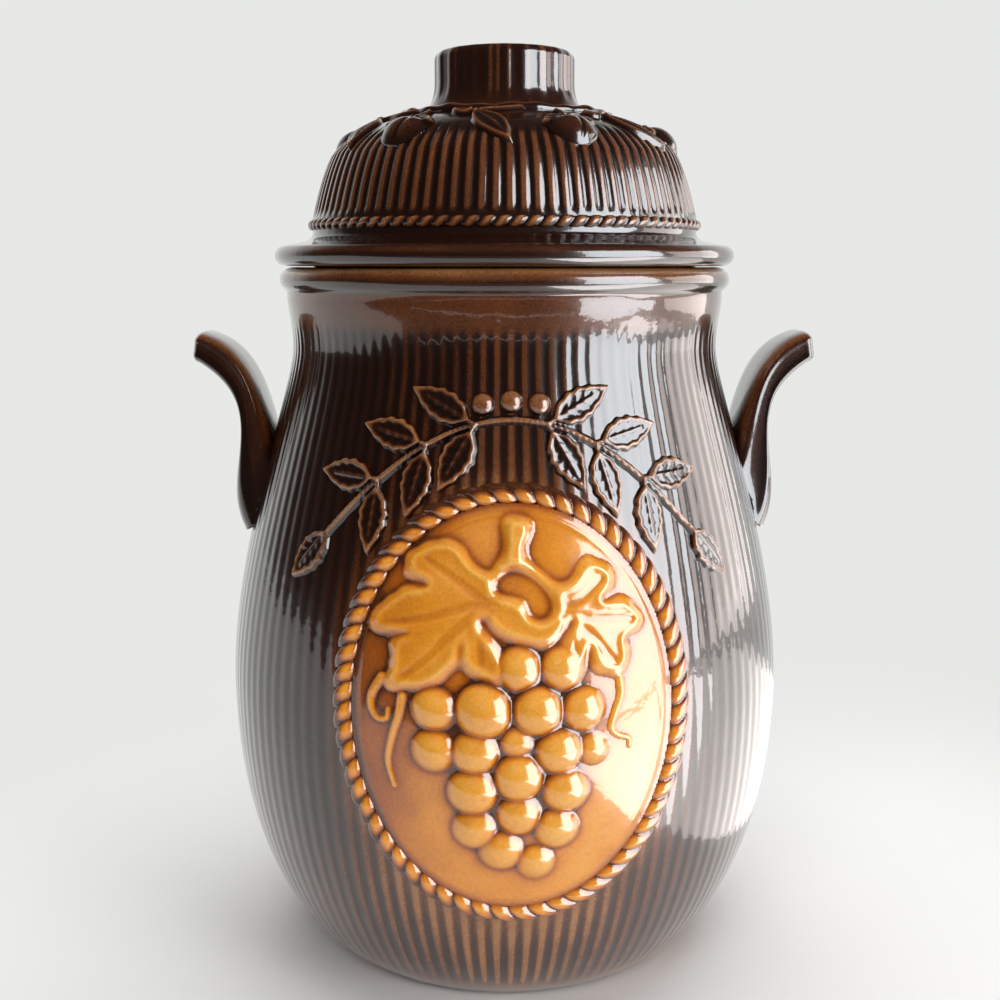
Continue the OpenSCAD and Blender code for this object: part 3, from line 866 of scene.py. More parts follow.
@dataclass
class Kiln:
    """Turns surfaces into glazed Blender pieces and reports each one.

    Under foot_top, in metres, a face belongs to the foot.
    """

    glazes: dict[Slot, bpy.types.Material]
    clay: bpy.types.Material
    foot_top: float = 0.00001

    def fire(self, name: str, surface: Surface, body: Body, slot: Slot, node: str) -> bpy.types.Object:
        """Makes a piece.

        Args:
            name: The piece's name.
            surface: Its shape.
            body: The body that it moves with.
            slot: The material slot of its finish.
            node: The solid that it stands for.

        Returns:
            The piece.
        """
        mesh = bpy.data.meshes.new(name)
        mesh.from_pydata((surface.points * MM).tolist(), [], surface.faces)
        mesh.polygons.foreach_set("use_smooth", np.ones(len(mesh.polygons), bool))
        for key, values in surface.marks.items():
            store = mesh.attributes.new(key, "FLOAT", "POINT")
            store.data.foreach_set("value", values.astype(np.float32))
        if surface.crease is not None:
            ends = np.zeros(2 * len(mesh.edges), np.int32)
            mesh.edges.foreach_get("vertices", ends)
            ends = ends.reshape(-1, 2)
            store = mesh.attributes.new("sharp_edge", "BOOLEAN", "EDGE")
            store.data.foreach_set("value", surface.crease[ends[:, 0]] & surface.crease[ends[:, 1]])
        mesh.materials.append(self.glazes[slot])
        mesh.update()
        piece = bpy.data.objects.new(name, mesh)
        bpy.context.scene.collection.objects.link(piece)
        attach(piece, body.value)
        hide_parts(node)
        log.info("%s: %d points, %d faces, on %s", name, len(mesh.vertices), len(mesh.polygons), body.value)
        return piece

    def bare_foot(self, piece: bpy.types.Object) -> None:
        """Leaves the faces that a piece stands on unglazed.

        Args:
            piece: The piece.
        """
        piece.data.materials.append(self.clay)
        for face in piece.data.polygons:
            if face.center.z < self.foot_top:
                face.material_index = 1


@dataclass
class PotWall:
    """Wall, floor, foot and rolled rim of the pot.

    The glaze's thinness runs from 0, where it pools, to 1, on a bare crest.

    Attributes:
        form: The pot's outline.
        oval: The medallion, round which the glaze is thinner.
        flutes: Number of flutes.
        flute_columns: Columns of points to a flute.
        flute_depth: Depth of a flute.
        flute_low: Height of the flutes' lower ends.
        flute_top: Height of the flutes' upper ends.
        flute_fade: Length over which they fade out.
        bed_thin: Thinness between the ribs.
        rib_thin: What all ribs add to that.
        drift_thin: What they add in turns round the jar.
        front_thin: What they add at the front.
        front_width: How far round the front that reaches, as a share of the radius.
        low_rib_thin: What they add on the lower belly.
        back_thin: What they add at the back.
        cove_thin: Thinness where there are no flutes.
        low_thin: What the lowest part adds.
        inside_thin: Thinness inside.
        rim_thin: What the top of the rim adds.
        halo_thin: What the halo round the rope adds, and how much more low down.
        halo_reach: How far the halo reaches, and how much further low down.
    """

    form: JarForm
    oval: Oval
    flutes: int = 112
    flute_columns: int = 7
    flute_depth: float = 0.15
    flute_low: float = 7.1
    flute_top: float = 213.8
    flute_fade: float = 5.0
    bed_thin: float = 0.05
    rib_thin: float = 0.16
    drift_thin: float = 0.12
    front_thin: float = 0.30
    front_width: float = 0.34
    low_rib_thin: float = 0.24
    back_thin: float = 0.12
    cove_thin: float = 0.56
    low_thin: float = 0.12
    inside_thin: float = 0.28
    rim_thin: float = 0.74
    halo_thin: Point = (0.36, 0.20)
    halo_reach: Point = (6.0, 5.0)

    def foot(self) -> Array:
        """Outline of the foot, from its middle to its edge."""
        edge = self.form.foot_r
        return np.array([[0, 0], [40, 0], [edge - 1.2, 0], [edge - 0.1, 0.02]])

    def side(self) -> Array:
        """Outline of the outside, up to the crease under the rim."""
        return np.vstack([self.form.lower[1:], self.form.upper[1:], self.form.cove[1:]])

    def rim_and_inside(self) -> Array:
        """Outline over the rim, down the inside and in to the middle of the floor.

        Returns:
            Radius and height of its points.
        """
        f = self.form
        roll = f.rim_roll / 2
        mouth = f.neck_r - f.wall
        upper = (f.upper + f.wall * left_normals(f.upper))[1:]
        inside = np.vstack([f.lower + f.wall * left_normals(f.lower), upper])
        inside = inside[inside[:, 1] > f.floor_t][::-2]
        corner = inside[-1, 0]
        return np.vstack([
            arc((f.rim_r - roll, f.pot_h - roll), roll, -60, 90, 10),
            [[mouth + 2.5, f.pot_h], [mouth + 1.2, f.pot_h - 0.3], [mouth, f.pot_h - 1.8],
             [mouth, f.pot_h - 12]],
            inside,
            [[corner - 2.5, f.floor_t + 0.4], [corner - 6, f.floor_t], [25, f.floor_t], [0, f.floor_t]],
        ])

    def rib_crests(self, angle: Array, z: Array) -> Array:
        """What the crests of the ribs add to the thinness.

        Args:
            angle: Angle from the front, in radians.
            z: Height.

        Returns:
            The added thinness.
        """
        drift = 0.5 + 0.5 * np.sin(9 * angle + 2.1 * np.sin(4 * angle + 1.3))
        facing = np.exp(-(2 * np.sin(angle / 2) / self.front_width) ** 2)
        return (self.rib_thin + self.drift_thin * drift + self.front_thin * facing
                + self.low_rib_thin * smooth(90, 30, z) + self.back_thin * (np.cos(angle) < 0))

    def halo(self, x: Array, z: Array) -> Array:
        """What the halo round the rope adds to the thinness.

        Args:
            x: Place across the jar.
            z: Height.

        Returns:
            The added thinness.
        """
        off = np.maximum(self.oval.edge_distance(x, z) - self.oval.rope_w / 2, 0)
        low = smooth(95, 35, z)
        reach = self.halo_reach[0] + self.halo_reach[1] * low
        return np.exp(-off / reach) * (self.halo_thin[0] + self.halo_thin[1] * low)

    def surface(self) -> Surface:
        """The pot with its flutes.

        Returns:
            The closed surface.
        """
        f = self.form
        parts = (self.foot(), self.side(), self.rim_and_inside())
        line = np.vstack(parts)
        outside = np.repeat([False, True, False], [len(part) for part in parts])[:, None]
        r, z = line[:, :1], line[:, 1:]
        columns = self.flute_columns * self.flutes
        angle = (2 * math.pi * np.arange(columns) / columns)[None, :]
        wave = 0.5 + 0.5 * np.cos(self.flutes * angle)
        span = (smooth(self.flute_low - 1, self.flute_low + self.flute_fade, z)
                * smooth(self.flute_top, self.flute_top - self.flute_fade, z))
        weight = np.where(outside, span, 0.0)
        ribs = (weight * (self.bed_thin + self.rib_crests(angle, z) * smooth(0.08, 0.98, wave))
                + (1 - weight) * self.cove_thin)
        rim = smooth(f.pot_h - 5, f.pot_h - 0.5, z) * (r > f.neck_r - 5)
        halo = np.where(outside & (np.cos(angle) > 0.2), self.halo(r * np.sin(angle), z), 0)
        thin = (np.where(outside, ribs + self.low_thin * smooth(70, 5, z), self.inside_thin)
                + self.rim_thin * rim + halo)
        return spun(line, columns, self.flute_depth * weight * (1 - wave), {"thin": np.clip(thin, 0, 1)})


@dataclass
class Handles:
    """The two horn-shaped lugs.

    Attributes:
        form: The pot's outline.
        low_z: Height of the lower end, on the wall.
        tip_z: Height of the tip's lower edge.
        tip_reach: How far the tip reaches past the belly.
        tip_t: Thickness at the tip.
        width: Width at the wall.
        taper: Share of the width that is lost on the way to the tip.
        groove: Depth of the hollow along both sides.
        squareness: Power that squares the section, from 0 for a block to 1 for an oval.
        rows: Steps along it.
        points: Points round it.
        tip_round: How far the rounded tip stands out.
        tip_turns: Angles of the rings that round the tip, in degrees.
        sunk: How far it reaches into the wall.
        weld: How far it spreads where it meets the wall.
        weld_reach: Height of that spread above the wall.
    """

    form: JarForm
    low_z: float = 143.02
    tip_z: float = 198.6
    tip_reach: float = 7.8
    tip_t: float = 10.6
    width: float = 36.0
    taper: float = 0.12
    groove: float = 1.3
    squareness: float = 0.62
    rows: int = 72
    points: int = 96
    tip_round: float = 3.0
    tip_turns: tuple[int, ...] = (12, 24, 36, 48, 60, 72, 82)
    sunk: float = 1.4
    weld: float = 1.6
    weld_reach: float = 2.2

    def edges(self) -> tuple[Array, Array]:
        """Side view of the lug.

        Returns:
            Radius and height along its lower and its upper edge.
        """
        f = self.form
        rise = self.tip_z - self.low_z
        root, reach = float(f.radius(self.low_z)), f.belly_r + self.tip_reach
        bend, crook = self.tip_z - 0.308 * rise, self.tip_z - 0.215 * rise
        low = cubic([(root + 1.5, self.low_z), (root + 12, self.low_z + 0.35 * rise),
                     (float(f.radius(bend)) - 1, bend), (reach, self.tip_z)], self.rows)
        top = cubic([(root - 14, self.low_z + 0.17 * rise), (float(f.radius(crook)) + 5, crook),
                     (f.neck_r + 11.3, self.tip_z + 5.5), (reach - 1.5, self.tip_z + self.tip_t)], self.rows)
        return low, top

    def ends(self) -> list[Point]:
        """Size of each ring and how far it stands ahead of its place, with the tip rounded off.

        Returns:
            A scale and a shift for each section.
        """
        turns = [math.radians(t) for t in self.tip_turns]
        ends = [(math.cos(t) * 0.6 + 0.4, self.tip_round * math.sin(t)) for t in turns]
        return [(1.0, 0.0)] * (self.rows + 1) + ends

    def surface(self) -> Surface:
        """The lug on the +X side.

        Returns:
            The closed surface.
        """
        low, top = self.edges()
        turn = np.radians(np.linspace(0, 360, self.points, endpoint=False))
        p = np.sign(np.cos(turn)) * np.abs(np.cos(turn)) ** self.squareness
        q = np.sign(np.sin(turn)) * np.abs(np.sin(turn)) ** self.squareness
        edge = np.exp(-((np.abs(q) - 0.86) / 0.16) ** 2) * np.abs(p) ** 2
        crest = 0.35 * (q > 0) * np.exp(-((np.abs(p) - 0.8) / 0.3) ** 2)
        hollow = self.groove * np.exp(-(q / 0.52) ** 4) * np.abs(p) ** 3
        rings = []
        for i, (size, ahead) in enumerate(self.ends()):
            row = min(i, self.rows)
            u = row / self.rows
            mid, half = (low[row] + top[row]) / 2, (top[row] - low[row]) / 2 * size
            out = np.array([half[1], -half[0]]) / np.linalg.norm(half)
            across = self.width / 2 * (1 - self.taper * u) * size * p
            across = across - np.sign(p) * hollow * smooth(0.0, 0.25, 1 - abs(2 * u - 1) + 0.2)
            middle = mid[None, :] + q[:, None] * half[None, :] + ahead * out[None, :]
            rings.append(np.c_[middle[:, 0], across, middle[:, 1]])
        ring = np.array(rings)
        flat = np.hypot(ring[..., 0], ring[..., 1])
        wall = self.form.radius(ring[..., 2]) - self.sunk
        gap = flat - wall
        swell = np.where(gap > 0, self.weld * np.exp(-gap / self.weld_reach), 0.0)
        ring[..., 1] += np.sign(ring[..., 1]) * swell * np.abs(p)[None, :]
        ring[..., :2] *= np.where(flat < wall, wall / flat, 1.0)[..., None]
        thin = np.clip((0.10 + 0.50 * edge + crest) * smooth(0, 6, gap) + 0.12 * smooth(6, 0, gap), 0, 1)
        return tube(ring[:, ::-1], False, {"thin": thin[:, ::-1]})


@dataclass(frozen=True)
class Vine:
    """Lines of the vine, as millimetres across and up from the middle of the oval.

    A grape also has its size against the others. The knot is the bent stem between the leaves, with an
    open eye, and the grooves are pressed through the clay between the lobes.
    """

    left_leaf: Outline = (
        (-3.8, 41.3), (-6.9, 40.2), (-9.9, 41.5), (-12.5, 43.9), (-13.9, 46.9), (-15.9, 48.4),
        (-19.0, 49.4), (-21.6, 48.2), (-24.1, 48.4), (-26.1, 46.4), (-29.3, 45.4), (-30.2, 43.4),
        (-29.3, 41.5), (-31.0, 39.5), (-29.0, 38.8), (-25.8, 38.4), (-23.0, 37.8), (-23.2, 35.8),
        (-28.7, 35.8), (-31.6, 35.3), (-32.2, 33.6), (-35.4, 32.2), (-36.5, 30.2), (-38.9, 28.9),
        (-40.1, 26.5), (-41.0, 23.6), (-38.6, 22.8), (-33.9, 23.2), (-27.8, 24.3), (-27.2, 22.9),
        (-32.1, 21.7), (-34.7, 20.4), (-34.5, 18.4), (-33.3, 17.1), (-34.5, 15.1), (-34.2, 13.1),
        (-35.9, 10.4), (-36.5, 7.5), (-34.2, 6.9), (-30.7, 8.1), (-26.9, 7.9), (-23.8, 9.2),
        (-20.4, 10.8), (-18.4, 13.7), (-15.8, 15.5), (-15.8, 19.4), (-15.3, 22.4), (-14.1, 22.8),
        (-13.6, 21.4), (-14.1, 18.3), (-14.1, 15.3), (-12.2, 13.1), (-9.4, 12.1), (-6.6, 11.3),
        (-4.0, 9.4), (-2.6, 11.6), (-2.1, 15.5), (-2.9, 19.1), (-4.6, 21.8), (-7.1, 24.0), (-9.1, 26.2),
        (-9.4, 28.1), (-8.2, 28.7), (-6.6, 26.5), (-3.8, 24.0), (-2.1, 26.0), (-1.5, 31.4),
    )
    right_leaf: Outline = (
        (12.0, 37.2), (14.8, 37.1), (17.1, 38.4), (18.8, 41.6), (20.0, 43.7), (21.7, 44.4),
        (23.7, 42.7), (26.3, 42.2), (27.8, 40.7), (29.2, 39.0), (28.9, 36.2), (27.2, 34.4),
        (24.0, 33.3), (25.1, 31.3), (28.3, 32.1), (31.0, 32.7), (33.6, 31.1), (35.4, 29.0),
        (37.8, 26.2), (37.5, 24.0), (34.8, 22.4), (30.3, 21.7), (32.4, 19.8), (33.3, 17.2),
        (32.7, 13.9), (31.5, 12.6), (30.3, 10.5), (27.1, 12.2), (23.9, 12.5), (22.5, 14.3),
        (22.5, 18.2), (21.9, 21.3), (21.1, 22.2), (20.5, 20.3), (20.2, 16.4), (19.1, 12.8),
        (17.9, 10.1), (15.4, 8.9), (12.0, 9.0), (14.0, 11.7), (14.5, 15.1), (14.5, 18.4), (13.7, 20.6),
        (14.2, 22.8), (16.5, 24.9), (17.6, 26.2), (17.1, 29.6), (16.5, 33.7),
    )
    knot: Outline = (
        (-3.8, 41.3), (-0.4, 42.9), (3.0, 42.9), (5.5, 42.3), (8.9, 39.5), (12.0, 37.2), (14.8, 36.5),
        (16.5, 33.7), (17.1, 29.6), (14.8, 26.4), (13.1, 24.5), (11.7, 22.1), (8.9, 20.3), (5.5, 21.2),
        (0.4, 22.4), (-3.8, 24.0), (-6.6, 27.3), (-7.1, 32.8), (-6.8, 37.4),
    )
    eye: Outline = (
        (-4.6, 36.4), (-4.3, 38.0), (-2.6, 39.6), (-0.7, 41.0), (1.9, 40.4), (4.7, 39.3), (7.5, 36.8),
        (9.7, 34.0), (10.6, 31.2), (9.7, 29.1), (7.5, 28.3), (4.9, 29.7), (4.4, 32.5), (3.3, 34.1),
        (1.0, 35.0), (-2.4, 35.3),
    )
    trunk: Outline = (
        (-2.6, 55.7), (1.9, 56.0), (5.5, 54.6), (5.2, 52.1), (3.8, 49.4), (3.0, 47.0), (3.8, 44.2),
        (6.1, 41.7), (1.9, 41.3), (-3.8, 40.7), (-5.2, 42.4), (-2.9, 44.5), (-1.8, 47.8), (-2.1, 51.1),
    )
    tendrils: tuple[Outline, ...] = (
        ((-37.4, 10.0), (-40.4, 5.0), (-40.7, 0.7), (-38.9, -2.0), (-36.3, -1.7), (-35.7, 1.0)),
        ((-31.6, 5.2), (-32.8, -0.7), (-34.6, -6.7), (-35.9, -14.3), (-34.2, -21.7)),
        ((30.6, 9.9), (30.9, 5.3), (29.2, 0.6), (28.1, -3.6), (29.9, -6.2), (33.4, -7.8), (33.7, -10.2)),
    )
    grooves: tuple[Outline, ...] = (
        ((-1.9, 16.5), (-3.0, 19.6), (-5.0, 22.6), (-7.6, 25.2), (-9.3, 27.6), (-7.6, 28.2)),
        ((11.5, 20.0), (13.6, 22.6), (15.6, 25.4)),
    )
    left_veins: tuple[Outline, ...] = (
        ((-5.0, 33.0), (-14.0, 31.0), (-24.0, 28.0), (-37.0, 25.0)),
        ((-8.0, 33.0), (-15.0, 38.0), (-24.0, 44.0)),
        ((-8.0, 31.0), (-17.0, 24.0), (-25.0, 16.0), (-33.0, 9.5)),
        ((-7.0, 30.0), (-9.0, 23.0), (-9.0, 16.0)),
    )
    right_veins: tuple[Outline, ...] = (
        ((13.0, 31.0), (19.0, 33.0), (25.0, 38.0)),
        ((14.0, 29.0), (22.0, 27.5), (34.0, 26.5)),
        ((15.0, 28.0), (22.0, 23.0), (29.0, 14.5)),
        ((15.0, 26.5), (16.5, 19.0), (16.5, 11.5)),
    )
    grapes: tuple[tuple[float, float, float], ...] = (
        (1.5, 14.5, 0.95), (14.0, 14.5, 0.95), (-22.5, 2.5, 0.95), (-8.5, 2.5, 1.15), (7.0, 2.5, 1.05),
        (20.0, 2.5, 0.95), (-22.5, -9.5, 0.95), (-11.0, -9.5, 1.0), (13.0, -9.5, 1.0), (23.0, -9.5, 0.75),
        (1.0, -6.5, 0.75), (1.5, -17.0, 1.05), (-11.5, -21.3, 1.05), (15.0, -21.3, 1.0), (1.5, -28.3, 0.95),
        (-11.0, -33.0, 0.95), (12.5, -33.0, 0.95), (-3.5, -39.8, 0.95), (6.5, -44.0, 0.85),
    )


@dataclass
class Medallion:
    """Amber oval with its vine, tendrils and grapes.

    The glaze's depth runs from 0, on a crest, to 1, in the deepest recess, and painted shade adds to it on
    the oval's left side. Widths of lines are half widths, and step is the size of the grid's cells.
    """

    oval: Oval
    vine: Vine = Vine()
    step: float = 0.43
    leaf_t: float = 1.3
    leaf_rim: float = 0.55
    eye_spread: float = 1.1
    groove_w: float = 0.95
    vein_w: Point = (1.3, 1.2)
    vein_depth: float = 0.28
    trunk_rise: float = 0.9
    tendril_w: float = 1.5
    tendril_t: float = 0.95
    grape_r: float = 8.0
    grape_sink: float = 4.2
    grape_blend: float = 2.8

    def __post_init__(self) -> None:
        """Lays the grid over the oval and works out the vine's heights."""
        o = self.oval
        xs = np.arange(-o.rope_a, o.rope_a + self.step, self.step)
        zs = np.arange(-o.rope_b, o.rope_b + self.step, self.step)
        self.x, self.up = np.meshgrid(xs, zs)
        z = self.up + o.centre_z
        self.base = np.stack([self.x, o.field_y(self.x, z), z], axis=-1)
        normal = np.cross(np.gradient(self.base, axis=1), np.gradient(self.base, axis=0))
        self.normal = normal / np.linalg.norm(normal, axis=-1)[..., None]
        self.inward = -o.edge_distance(self.x, z)
        heights = {"grape_bunch": self.grapes(), **self.leaves(), "tendrils": self.tendrils()}
        self.relief = Relief(self.base, self.normal, heights)

    def inside(self, outline: Outline, passes: int = 2) -> Array:
        """Distance inside an outline with its corners cut smooth."""
        return inside_distance(self.x, self.up, rounded(outline, passes))

    def strokes(self, lines: Sequence[Outline], width: float) -> Array:
        """Distance inside the nearest of some lines, which narrow towards their ends.

        Args:
            lines: The lines.
            width: Half their width where they start.

        Returns:
            The distance, below nought outside all of them.
        """
        best = np.full(self.x.shape, -9.0)
        for line in lines:
            distance, along = segment_distance(self.x, self.up, curved(line), False)
            best = np.maximum(best, width * (1 - 0.45 * along) - distance)
        return best

    def slab(self, inside: Array, hole: Array) -> Array:
        """Height of the leaves and the stem, as one slab with a raised rim along its edge.

        Args:
            inside: Distance inside its outline.
            hole: Distance inside the openings in it.

        Returns:
            The height, below nought outside the slab.
        """
        clay = np.clip(0.5 + (inside + 0.35) / 0.45, 0, 1) * np.clip(0.5 - hole / 0.45, 0, 1)
        near, wide = blur(clay, 2), blur(clay, 4)
        rim = self.leaf_rim * np.exp(-((wide - 0.84) / 0.10) ** 2) * smooth(0.4, 0.95, near)
        return self.leaf_t * smooth(0.08, 0.97, near) + rim - 0.7 * smooth(0.16, 0.01, near)

    def leaves(self) -> dict[str, Array]:
        """Heights of the two leaves and the stem over the field.

        Returns:
            The heights by the name of their solids.
        """
        v = self.vine
        trunk = self.inside(v.trunk)
        stem = np.maximum(self.inside(v.knot), trunk)
        parts = np.stack([self.inside(v.left_leaf, 1), self.inside(v.right_leaf, 1), stem])
        hole = np.maximum(self.inside(v.eye) + self.eye_spread, self.strokes(v.grooves, self.groove_w))
        clay = self.slab(parts.max(axis=0), hole)
        clay += self.trunk_rise * smooth(-0.5, 3.0, trunk) * smooth(0.8, 1.3, clay)
        left, right = (self.strokes(lines, w) for lines, w in zip((v.left_veins, v.right_veins), self.vein_w))
        veins = np.maximum(left, right)
        clay -= self.vein_depth * smooth(-0.9, 0.5, veins) * smooth(0.8, 1.3, clay)
        owner = parts.argmax(axis=0)
        names = ("left_vine_leaf", "right_vine_leaf", "vine_stem")
        return {name: np.where(owner == i, clay, -1.0) for i, name in enumerate(names)}

    def tendrils(self) -> Array:
        """Height of the tendrils over the field."""
        inside = self.strokes(self.vine.tendrils, self.tendril_w)
        return self.tendril_t * smooth(-0.4, 1.3, inside) - 0.8 * smooth(0.0, -1.0, inside)

    def grapes(self) -> Array:
        """Height of the grapes over the field, with soft valleys between them.

        Returns:
            The height at each point.
        """
        total = np.zeros(self.x.shape)
        for across, up, size in self.vine.grapes:
            r = self.grape_r * size
            d2 = (self.x - across) ** 2 + (self.up - up) ** 2
            cap = np.sqrt(np.maximum(r * r - d2, 0.0)) - self.grape_sink
            skirt = np.where(d2 < r * r, cap, -self.grape_sink - (np.sqrt(d2) - r))
            total += np.exp(np.clip(skirt, -9, 9) * self.grape_blend)
        bunch = np.log(total + 1e-11) / self.grape_blend
        fillet = 0.5 * (bunch + np.sqrt(bunch ** 2 + 0.9)) - 0.12
        return fillet - 0.8 * smooth(-1.2, -3.2, bunch)

    def marks(self, height: Array) -> dict[str, Array]:
        """Depth of the glaze, brown in the recesses and light on the crests, with painted shade on the oval's
        left side.

        Args:
            height: Height of the vine over the field.

        Returns:
            The numbers for the glaze.
        """
        h = np.maximum(height, 0.0)
        near, wide = blur(h, 2) - h, blur(h, 6) - h
        low = smooth(0.5, 0.0, h)
        pool = np.clip(near, 0, 2) * (0.35 + 0.65 * low) + 0.36 * np.clip(wide, 0, 3)
        crest = 0.45 * np.clip(-near, 0, 1) + 0.07 * np.clip(-wide, 0, 3)
        border = 0.42 * np.exp(-np.clip(self.inward - self.oval.rope_w / 2, 0, None) / 1.1)
        # Painted shade: the oval's left side, turned away from the light at the right, is made browner.
        left = 0.30 * smooth(-20, -44, self.x) + 0.10 * smooth(10, -30, self.x)
        depth_and_shade = 0.25 + pool - crest + border + left * (0.4 + 0.6 * low)
        return {"depth_and_shade": np.clip(depth_and_shade, 0, 1)}

    def shells(self) -> dict[str, Surface]:
        """Closed shell of each piece of the ornament, by the name of its solid."""
        return self.relief.shells(self.marks)

    def field(self) -> Surface:
        """The plain oval under the vine, closed at the back against the pot.

        Returns:
            The closed surface.
        """
        edge = self.oval.rope_w / 2
        keep = self.inward > edge - 0.7
        cells = keep[:-1, :-1] & keep[1:, :-1] & keep[:-1, 1:] & keep[1:, 1:]
        ridge = 0.25 * np.exp(-((self.inward - edge - 2.4) / 0.8) ** 2)
        sheet = Relief(self.base, self.normal, {}, 0.0, 1.0)
        return sheet.shell(ridge, cells, self.marks(self.relief.top()))


@dataclass
class Rope:
    """Twisted rope round the oval.

    Its half_width is a share of the rope's own half width. A twist leans from edge to middle and hooks back
    at both edges, by shares of a twist.
    """

    oval: Oval
    beads: int = 60
    bead_rows: int = 16
    points: int = 25
    half_width: float = 1.16
    lean: float = 0.40
    hook: float = 0.11
    fullness: float = 0.58
    back: float = 1.3

    def turns(self) -> Array:
        """Angle of each row round the oval, at even steps along its length.

        Returns:
            The angles, in radians.
        """
        o = self.oval
        rows = self.beads * self.bead_rows
        t = 2 * math.pi * np.arange(rows * 4) / (rows * 4)
        length = np.cumsum(np.hypot(o.rope_a * np.sin(t), o.rope_b * np.cos(t)))
        return np.interp(np.arange(rows) / rows, np.r_[0, length / length[-1]], np.r_[0, t + t[1]])

    def surface(self) -> Surface:
        """The rope, raised from the pot's wall.

        Returns:
            The closed surface.
        """
        o = self.oval
        turns = self.turns()
        a, v = np.meshgrid(turns, np.linspace(-self.half_width, self.half_width, self.points), indexing="ij")
        twist = np.arange(len(turns))[:, None] / len(turns) * self.beads - self.lean * v - self.hook * v * v
        bead = np.abs(np.sin(math.pi * twist)) ** self.fullness
        across = v * o.rope_w / 2
        tangent = np.stack([-o.rope_a * np.sin(a), o.rope_b * np.cos(a)], axis=-1)
        tangent /= np.linalg.norm(tangent, axis=-1)[..., None]
        x = o.rope_a * np.cos(a) + across * tangent[..., 1]
        z = o.centre_z + o.rope_b * np.sin(a) - across * tangent[..., 0]
        points, normal = o.form.point(np.arcsin(np.clip(x / o.form.radius(z), -1, 1)), z)
        wide = np.abs(v) / (0.88 + 0.20 * bead)
        top = np.where(wide < 1, np.maximum(1 - wide ** 2.3, 0) ** 0.62, -1.2 * (wide - 1) / 0.2)
        swell = (0.42 + 0.58 * bead) * (0.93 - 0.10 * v)
        height = np.maximum(o.rope_h * np.where(top > 0, top * swell, top * 0.35), -1.0)
        back = points - normal * self.back
        rings = np.concatenate([points + normal * height[..., None], back[:, -1:], back[:, :1]], axis=1)
        depth_and_shade = self.depth(a, v, bead)
        return tube(rings, True, {"depth_and_shade": np.concatenate([depth_and_shade, depth_and_shade[:, -1:], depth_and_shade[:, :1]], axis=1)})

    def depth(self, turn: Array, across: Array, bead: Array) -> Array:
        """Depth of the glaze, brown between the twists and outside, with painted shade at the upper left.

        Args:
            turn: Angle round the oval, in radians.
            across: Place across the rope, from -1 inside to 1 outside.
            bead: Height of the twist, from 0 between two to 1 on its crest.

        Returns:
            The depth with its painted shade at each point, from 0 to 1.
        """
        outer = smooth(-0.45, 0.65, across)
        # Painted shade: the rope's upper left, turned away from the light at the right, is made browner.
        painted_shade_upper_left = smooth(-0.7, 0.6, -np.cos(turn) * 0.85 + np.sin(turn) * 0.5)
        inner = 0.30 * smooth(-0.6, -1.0, across)
        return np.clip(0.22 + 0.95 * (1 - bead) ** 1.4 + outer * (0.40 + 0.50 * painted_shade_upper_left) + inner, 0, 1)


